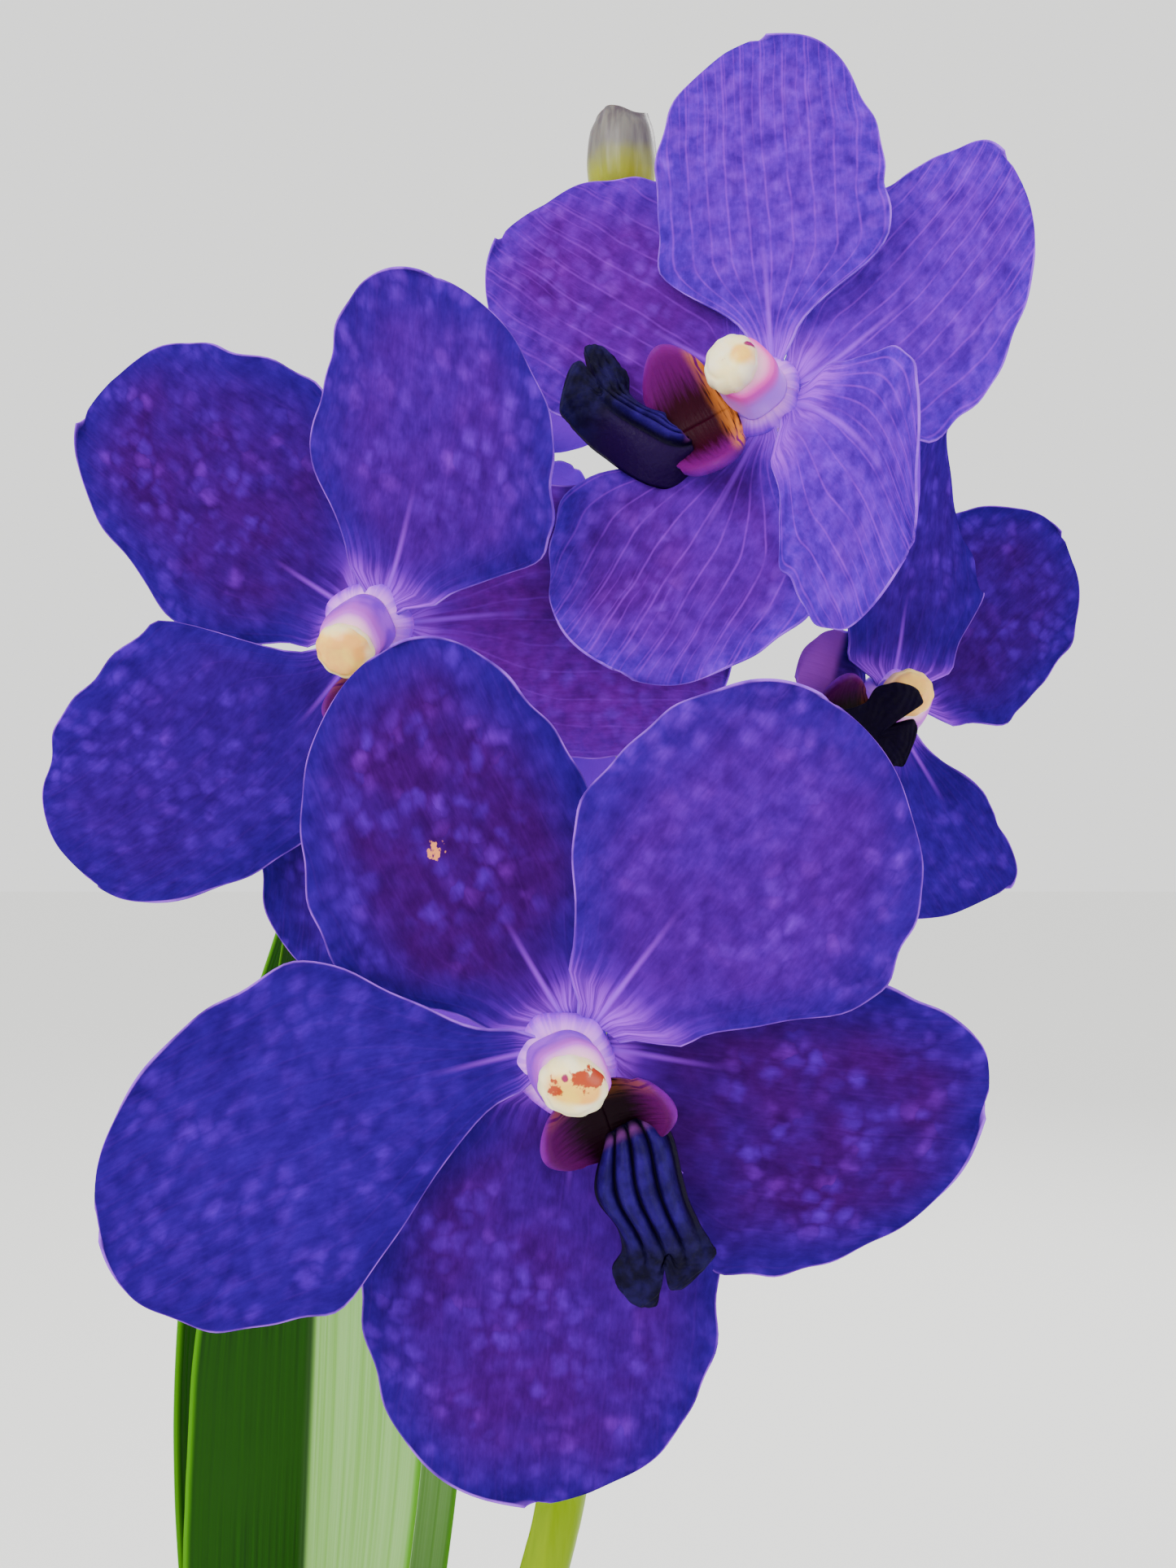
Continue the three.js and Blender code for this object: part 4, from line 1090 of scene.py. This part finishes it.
STAR_TURNS = 90
STAR_RIM = 3.8
STAR_OUTLINE = [
    # radius, height
    (0.6, -3.4), (2.4, -3.0), (3.8, -1.8), (5.2, -0.7), (5.7, 0.1), (5.5, 0.8), (5.0, 1.4), (4.3, 1.9),
    (3.5, 2.1), (2.6, 2.0), (0.5, 1.9),
]


def star_mesh(name, bloom):
    """A soft collar that swells a little towards each claw."""
    turns = full_turn(STAR_TURNS)
    swell = 0
    for tepal in bloom["tepals"]:
        away = np.angle(np.exp(1j * (turns - math.radians(tepal["angle"]))))
        swell = swell + np.exp(-(away / 0.35) ** 2)
    rings = []
    for radius, height in STAR_OUTLINE:
        rim = smooth((radius - STAR_RIM) / 1.5) * swell
        rings.append(circle(turns, radius * (1 + 0.1 * rim), height + 0.3 * rim * (height > 0.5)))
    heart = np.array((*bloom["heart"], 0.0))
    radii = np.array([[radius] for radius, height in STAR_OUTLINE])
    return wall_mesh(name, moved(np.array(rings) + heart, bloom_matrix(bloom)),
                     out=(radii, 0.0, 0.0), turn=(turns, 0.0, 0.0))


def star_material():
    """Pale flesh, streaked with violet from its middle outwards."""
    material, tree, shader = new_material(
        "lilac flesh", Specular_IOR_Level=0.25, Subsurface_Weight=0.25, Subsurface_Scale=1.5 * MM,
        Roughness=0.45)
    out, turn = wired(tree, "out", "turn")
    spoke = combine(tree, times(calc("SINE", turn), 7.0), times(calc("COSINE", turn), 7.0), times(out, 0.12))
    streak = span(noise(spoke, 1.0), 0.42, 0.62)
    outer = blend(streak, (176, 62, 244), (140, 24, 228))
    inner = blend(streak, (232, 145, 248), (212, 118, 246))
    finish_shader(shader, blend(span(out, 3.9, 5.6), inner, outer), streak, 0.04 * MM)
    return material


lilac_flesh = star_material()
for bloom_name in BLOOMS:
    place_on_bloom(bloom_name, "star", star_mesh, lilac_flesh, "tepal_violet", "tepals")


# ---- Lip -------------------------------------------------------------------------------------------------
# The lip's middle lobe: a blue-black tongue with four fleshy keels that start pinkish, run along it and fade
# into a flared, wrinkled end, which is split in two rounded lobes. It bends at its knee and hangs from the
# lip's base.

LIP_LEVEL = 4.6
LIP_WIDTHS = [3.0, 4.6, 5.1, 5.0, 4.4, 4.6, 5.9, 6.2]
LIP_THICKNESS = 1.8
LIP_ARCH = 2.4
LIP_SWAY = 0.7
KEEL_HEIGHT = 1.7
KEEL_START = -0.94
KEEL_STEP = 0.46
KEEL_COUNT = 4
TIP_NOTCH = 4.6
LOBE_STEP = 2.2
WALL_DROP = 3.0
LIP_ROWS = 96
LIP_COLUMNS = 100


def eased(values, shares, spread):
    """Evenly spaced values, read at shares of their length and then smoothed over their neighbours."""
    drawn = np.interp(shares, np.linspace(0, 1, len(values)), values)
    width = 2 * spread + 1
    return np.convolve(np.pad(drawn, spread, "edge"), np.ones(width) / width, "valid")


def keel_shape(v):
    """Round-topped keels side by side, with sharp grooves between them."""
    count = (v - KEEL_START) / KEEL_STEP
    crest = np.sqrt(np.clip(1 - (2 * (count % 1) - 1) ** 2, 0, 1))
    return np.where((count > 0) & (count < KEEL_COUNT), crest, 0)


def lip_sheet(lip, matrix):
    """The tongue, built ring by ring along its curve from foot over knee to tip."""
    foot = np.array((lip["foot"], 0, LIP_LEVEL))
    knee = foot + np.array((lip["knee"][0], 0, lip["knee"][1]))
    tip = foot + np.array(lip["tip"])
    wall = lip["wall"]
    u_line = 1 - (1 - np.linspace(0, 1, LIP_ROWS)) ** 1.3
    v = np.linspace(-1, 1, LIP_COLUMNS)
    v = 0.7 * v + 0.3 * np.sin(v * math.pi / 2)
    widths = eased(LIP_WIDTHS, u_line, 5)
    ending = np.sqrt(np.clip(1 - ((u_line - 0.84) / 0.162).clip(0, 1) ** 2, 0.0, 1))
    front, back = np.zeros((2, LIP_ROWS, LIP_COLUMNS, 3))
    ridges = np.zeros((LIP_ROWS, LIP_COLUMNS))
    sideways = np.array((0, 1.0, 0))
    for i, u in enumerate(u_line):
        middle = (1 - u) ** 2 * foot + 2 * u * (1 - u) * knee + u * u * tip
        along = (1 - u) * (knee - foot) + u * (tip - knee)
        along = along / np.linalg.norm(along)
        sideways = sideways - along * np.dot(sideways, along)
        sideways = sideways / np.linalg.norm(sideways)
        above = np.cross(along, sideways)
        middle = middle + sideways * LIP_SWAY * math.cos(2.6 * math.pi * u)

        # the outline: a frilled edge, and an end split in two lobes
        late = smooth((u - 0.6) / 0.25)
        width = widths[i] * lip["slim"] * (0.62 + 0.38 * ending[i])
        frill = 1 + late * 0.03 * np.sin(u * 34 + 2 * np.sign(v))
        cleft = np.exp(-((v - 0.06) / 0.10) ** 2)
        rounding = 1.8 * (np.abs(v) - 0.5).clip(0) ** 2 * 4
        lobes = 0.8 - TIP_NOTCH * cleft - rounding - LOBE_STEP * smooth(v / 0.15)
        retreat = smooth((u - 0.68) / 0.32) * lobes
        base = middle + along * retreat[:, None] + sideways * (v * width * frill)[:, None]

        # the relief: keels that fade into wrinkles, on a back that is arched and drops to a wall on one side
        keel_place = (v + 1) * 2 / (1 + wall) - 1
        ridge = keel_shape(keel_place + 0.10 * late * v) * (0.25 + 0.75 * smooth(u / 0.1)) * (1 - 0.8 * late)
        wrinkle = late * (0.16 * np.sin(v * 21 + 3 * np.sin(u * 26)) * np.sin(u * 85 + 6 * v)
                          + 0.22 * np.sin(v * 7 + 2) * np.sin(u * 37))
        arch = -LIP_ARCH * v ** 2 * (1 - 0.55 * late) - WALL_DROP * (v - wall).clip(0) ** 2
        body = LIP_THICKNESS * (1 - 0.7 * np.abs(v) ** 3) * (0.4 + 0.6 * ending[i])
        fullness = 0.3 + 0.7 * ending[i]
        front[i] = base + above * ((KEEL_HEIGHT * ridge + wrinkle + arch) * fullness)[:, None]
        back[i] = base + above * (arch * fullness + wrinkle * 0.6 - body)[:, None]
        ridges[i] = ridge
    return moved(front, matrix), moved(back, matrix), {
        "along": u_line[:, None], "ridge": ridges, "wall": smooth((v - wall + 0.05) / 0.1)}


def lip_material():
    """Blue-black, with keel crests painted lighter and bluer as painted highlight and the grooves between
    them near black as painted shade, pinkish where the keels start, and matt slate at the wrinkled end.
    """
    material, tree, shader = new_material(
        "lip", Specular_IOR_Level=0.07, Subsurface_Weight=0.04, Subsurface_Scale=1 * MM)
    here = object_place(tree)
    along, ridge, wall, facing = wired(tree, "along", "ridge", "wall", "facing")
    cloud = noise(here, 450.0, 3.0)
    fine = noise(here, 1700.0, 3.0)
    # painted highlight: the keel crests lighter and bluer; painted shade: the grooves between them near black
    keel = blend(span(cloud, 0.3, 0.7), (18, 1, 64), (34, 7, 98))
    color = blend(span(ridge, 0.2, 1.0), (6, 1, 26), keel)
    pink = times(span(ridge, 0.2, 0.7), span(along, 0.0, 0.1, 1.0, 0.0))
    color = blend(pink, color, (137, 65, 147))
    color = blend(wall, color, (24, 1, 50))
    tip = blend(span(cloud, 0.35, 0.7), (6, 3, 28), (22, 13, 62))
    color = blend(span(along, 0.55, 0.78), color, tip)
    color = blend(span(facing, 0.0, 1.0, 0.9, 0.0), color, (8, 1, 20))
    finish_shader(shader, color, plus(cloud, times(fine, 0.6)), 0.3 * MM, span(along, 0.5, 0.8, 0.42, 0.65))
    return material


def tongue_mesh(name, bloom):
    """The middle lobe, in the frame of the lip."""
    return sheets_mesh(name, [lip_sheet(bloom["lip"], bloom_matrix(bloom, bloom["lip"]["angle"]))])


lip_blue_black = lip_material()
for bloom_name in BLOOMS:
    place_on_bloom(bloom_name, "tongue", tongue_mesh, lip_blue_black, "lip_blue_black", "lip")


# ---- Side lobes ------------------------------------------------------------------------------------------
# The base of the lip, a bowl whose two sides stand up as ears beside the column: nearly black maroon in its
# hollow and magenta at its rolled edge. On the pale bloom the hollow is lighter, with an orange-yellow callus
# next to the column.

EAR_ROWS = 40
EAR_COLUMNS = 40
EAR_THICKNESS = 0.9
EAR_MIDDLE = 8.5
EAR_HALF = 4.5
EAR_TURN = -7
ROLL_START = 0.84


def ear_sheet(side, matrix, bloom):
    """One half of the bowl: s runs up from the lip's middle line to the rolled edge, t along the lip."""
    s, t = np.meshgrid(np.linspace(0, 1, EAR_ROWS), np.sin(np.linspace(-1, 1, EAR_COLUMNS) * math.pi / 2),
                       indexing="ij")
    size = bloom["ear_size"]
    reach = np.minimum(s, 0.86) / 0.86 * (1 - 0.42 * t ** 2)
    roll = math.pi * 0.8 * ((s - ROLL_START) / (1 - ROLL_START)).clip(0, 1)
    along = EAR_MIDDLE + bloom["ear_out"] + size * EAR_HALF * t * (1 - 0.25 * s ** 2)
    out = size * (6.9 * reach ** 0.9 + 0.7 * np.sin(roll))
    rise = 2.9 + size * (5.1 * reach ** 2 + 0.45 * np.sin(roll) - 0.6 * (1 - np.cos(roll)))
    thickness = EAR_THICKNESS * (0.5 + 0.5 * smooth((1 - np.abs(t)) / 0.2)) * (1 - 0.35 * s)
    front, back = two_faces(np.stack([along, side * out, rise], axis=2), thickness, matrix, -side)
    return front[:, ::-side], back[:, ::-side], {
        "up": s, "reach": t[:, ::-side], "callus": bloom["callus"]}


def ear_material():
    """Dark in the hollow, magenta at the edge, streaked along the bowl."""
    material, tree, shader = new_material(
        "side lobe", Specular_IOR_Level=0.06, Subsurface_Weight=0.12, Subsurface_Scale=1 * MM)
    here = object_place(tree)
    height, reach, bright, facing = wired(tree, "up", "reach", "callus", "facing")
    cloud = noise(here, 300.0)
    fine = noise(here, 1500.0)
    rays = noise(combine(tree, times(reach, 6.0), height), 2.0)
    streaked = plus(height, times(calc("SUBTRACT", rays, 0.5), 0.5))
    throat = blend(bright, (10, 1, 10), (42, 1, 20))
    hollow = blend(span(streaked, 0.35, 0.85), throat, (64, 1, 66))
    hollow = blend(times(bright, span(streaked, 0.3, 0.8)), hollow, (98, 1, 100))
    callus = times(span(reach, -0.95, -0.4, 1.0, 0.0), span(rays, 0.35, 0.55), bright)
    hollow = blend(callus, hollow, (205, 120, 40))
    outside = blend(bright, (62, 1, 80), (112, 2, 148))
    edge = blend(span(cloud, 0.3, 0.7), (88, 1, 118), (116, 6, 150))
    color = blend(span(height, 0.85, 0.93), blend(facing, outside, hollow), edge)
    relief = plus(times(rays, 0.6), times(fine, 0.4))
    finish_shader(shader, color, relief, 0.2 * MM, span(cloud, 0.2, 0.8, 0.36, 0.5))
    return material


def ears_mesh(name, bloom):
    """Both sides of the bowl, in the frame of the lip."""
    matrix = bloom_matrix(bloom, bloom["lip"]["angle"] + EAR_TURN)
    return sheets_mesh(name, [ear_sheet(side, matrix, bloom) for side in (1, -1)])


magenta_ear = ear_material()
for bloom_name in BLOOMS:
    place_on_bloom(bloom_name, "ears", ears_mesh, magenta_ear, "side_lobe_magenta", "side_lobes")


# ---- Column ----------------------------------------------------------------------------------------------
# The stout column that bears the pollen: violet at its foot, swelling to a hood that leans towards the lip
# and fades to pinkish white. On its end sits the cream anther cap, waxy, with a thick rounded lower edge and
# orange-brown flecks.

COLUMN_STOPS = [
    # lean, height, radius
    (0.0, 2.2, 4.1), (0.2, 4.3, 3.9), (0.7, 6.2, 3.9), (1.4, 7.8, 3.8), (2.0, 8.8, 2.9),
]
COLUMN_RINGS = 26
COLUMN_TURNS = 48
HOOD_START = 0.82
CAP_MIDDLE = (2.5, 8.7)
CAP_SIZE = (3.5, 3.85, 2.8)
CAP_TILT = 24.0
CAP_RISE = (-0.92, 0.985)
CAP_RINGS = 40
CAP_TURNS = 72


def column_mesh(name, bloom):
    """The hood, from the flower's heart up to the cap."""
    heart = np.array(Matrix.Rotation(math.radians(-bloom["lean"]), 3, "Z") @ Vector((*bloom["heart"], 0)))
    turns = full_turn(COLUMN_TURNS)
    wing = 1 + 0.10 * np.cos(2 * turns) + 0.03 * np.cos(5 * turns)
    steps = np.linspace(0, 1, COLUMN_RINGS)
    lean, height, radius = [
        np.interp(steps, np.linspace(0, 1, len(stops)), stops) for stops in zip(*COLUMN_STOPS)]
    lean = lean + bloom["nod"] * steps
    hood = ((steps - HOOD_START) / (1 - HOOD_START)).clip(0, 1)
    radius = radius * np.sqrt(np.clip(1.02 - hood ** 2, 0.02, 1))
    rings = []
    for step, x, z, r in zip(steps, lean, height, radius):
        ring = np.stack([x + r * wing * np.cos(turns), r * (2 - wing) * np.sin(turns), z + 0 * turns], axis=1)
        rings.append(ring + heart * (1 - smooth(step)))
    return wall_mesh(name, moved(np.array(rings), bloom_matrix(bloom, bloom["lean"])),
                     along=(steps[:, None], 0.0, 1.0), blush=(bloom["pale"], bloom["pale"], bloom["pale"]))


def cap_mesh(name, bloom):
    """A waxy bean-shaped lid, with a thick scalloped rim on the lip's side and a dent in its middle."""
    rise, turn = np.meshgrid(np.linspace(*CAP_RISE, CAP_RINGS), full_turn(CAP_TURNS), indexing="ij")
    ring = np.sqrt(1 - rise ** 2)
    x = ring * np.cos(turn)
    y = ring * np.sin(turn)
    top = smooth(rise / 0.3)
    dent = 0.22 * np.exp(-((x + 0.05) ** 2 + (y * 0.8) ** 2) / 0.2) * top
    gutter = 0.07 * np.exp(-((ring - 0.72) / 0.07) ** 2) * smooth((x + 0.2) / 0.5) * top
    scallop = 0.05 * np.abs(np.sin(3.5 * turn)) * smooth((x - 0.1) / 0.6)
    swell = 1 + scallop + 0.02 * np.sin(11 * turn) * ring
    points = np.stack([x * swell, y * swell, rise - dent - gutter], axis=2) * np.array(CAP_SIZE)
    stand = Matrix.Translation((CAP_MIDDLE[0] + bloom["nod"], 0, CAP_MIDDLE[1]))
    tilt = Matrix.Rotation(math.radians(CAP_TILT), 4, "Y")
    marks = {}
    for mark in ("glow", "flecks", "dots"):
        spots = 0 * x
        for spot_x, spot_y, size in bloom[mark]:
            spots = spots + np.exp(-((x - spot_x) ** 2 + (y - spot_y) ** 2) / size ** 2)
        spots = spots * (rise > 0)
        marks[mark] = (spots, 0.0, spots[-1].mean())
    return wall_mesh(name, moved(points, bloom_matrix(bloom, bloom["lean"]) @ stand @ tilt), **marks)


def column_material():
    """Violet flesh, flushed magenta half way and fading to pinkish white under the cap."""
    material, tree, shader = new_material(
        "column", Specular_IOR_Level=0.25, Subsurface_Weight=0.25, Subsurface_Scale=1.5 * MM, Roughness=0.42)
    along, blush = wired(tree, "along", "blush")
    cloud = noise(object_place(tree), 300.0, 3.0)
    foot = blend(span(cloud, 0.3, 0.7), (118, 10, 205), (165, 60, 225))
    foot = blend(blush, foot, (208, 128, 246))
    flesh = blend(blush, (182, 70, 212), (225, 70, 180))
    color = blend(span(along, 0.3, 0.7), foot, flesh)
    finish_shader(shader, blend(span(along, 0.8, 0.97), color, (250, 195, 225)), cloud, 0.2 * MM)
    return material


def cap_material():
    """Waxy cream, yellow on its face, with orange-brown flecks and a magenta dot."""
    material, tree, shader = new_material(
        "anther cap", Specular_IOR_Level=0.35, Subsurface_Weight=0.3, Subsurface_Scale=1.5 * MM,
        Coat_Weight=0.15, Coat_Roughness=0.25)
    here = object_place(tree)
    glow, flecks, dots = wired(tree, "glow", "flecks", "dots")
    cloud = noise(here, 330.0, 3.0)
    grain = calc("SUBTRACT", noise(here, 700.0, 4.0, 0.6), 0.5)
    cream = blend(span(cloud, 0.3, 0.7), (255, 232, 160), (255, 242, 210))
    yellow = blend(span(cloud, 0.35, 0.65), (255, 204, 70), (246, 168, 40))
    color = blend(span(glow, 0.3, 0.8, 0.0, 0.9), cream, yellow)
    color = blend(span(plus(flecks, times(grain, 2.6)), 0.45, 0.68), color, (168, 54, 1))
    color = blend(span(plus(dots, times(grain, 0.8)), 0.45, 0.7), color, (140, 1, 80))
    finish_shader(shader, color, cloud, 0.25 * MM, span(cloud, 0.2, 0.8, 0.3, 0.42))
    return material


column_flesh = column_material()
cap_cream = cap_material()
for bloom_name in BLOOMS:
    place_on_bloom(bloom_name, "hood", column_mesh, column_flesh, "column_cream", "column")
    place_on_bloom(bloom_name, "cap", cap_mesh, cap_cream, "column_cream", "column")


# ---- Bud -------------------------------------------------------------------------------------------------
# The last bud of the spike, blunt and still closed: yellow-green below, flushed grey-violet above, its outer
# sepals ribbed and overlapping.

BUD_MIDDLE = (50, -15, 521)
BUD_HEIGHT = 14.0
BUD_RADIUS = 5.1
BUD_SHARES = [0.36, 0.78, 0.95, 1.0, 1.02, 1.0, 0.97, 0.9, 0.74]
BUD_SEPALS = 3
BUD_TURNS = 72
BUD_RINGS = 40


def bud_mesh(name):
    """Rings up the bud, ribbed, and pinched in where its three sepals meet."""
    turns = full_turn(BUD_TURNS)
    steps = np.linspace(0, 1, BUD_RINGS)
    rings = []
    for step, share in zip(steps, eased(BUD_SHARES, steps, 2)):
        rib = 1 + 0.030 * np.abs(np.cos(turns * 4.5 + 0.5 * step)) - 0.015
        seam = 0.045 * np.exp(-(np.angle(np.exp(1j * BUD_SEPALS * (turns + 0.3 * step))) / 0.35) ** 2)
        crest = 0.5 * np.cos(turns * BUD_SEPALS) * smooth((step - 0.8) / 0.2)
        rings.append(circle(turns, BUD_RADIUS * share * (rib - seam), BUD_HEIGHT * (step - 0.5) + crest))
    points = (np.array(rings) + np.array(BUD_MIDDLE)) * MM
    return wall_mesh(name, points, along=(steps[:, None], 0.0, 1.0))


def bud_material():
    """Green streaks below, grey-violet ones above."""
    material, tree, shader = new_material(
        "bud", Specular_IOR_Level=0.3, Subsurface_Weight=0.15, Subsurface_Scale=2 * MM, Coat_Weight=0.1,
        Coat_Roughness=0.3)
    here = object_place(tree)
    streak = noise(here, 620.0, 3.0, stretch=(1.0, 1.0, 0.12))
    cloud = noise(here, 260.0)
    green = blend(streak, (116, 122, 1), (146, 150, 1))
    grey = blend(span(streak, 0.35, 0.65), (66, 54, 64), (106, 102, 96))
    upper = span(plus(wired(tree, "along"), times(cloud, 0.25)), 0.42, 0.82)
    finish_shader(shader, blend(upper, green, grey), streak, 0.2 * MM, span(cloud, 0.2, 0.8, 0.28, 0.4))
    return material


place("last_bud", bud_mesh("last_bud"), bud_material(), "bud_green", "bud")
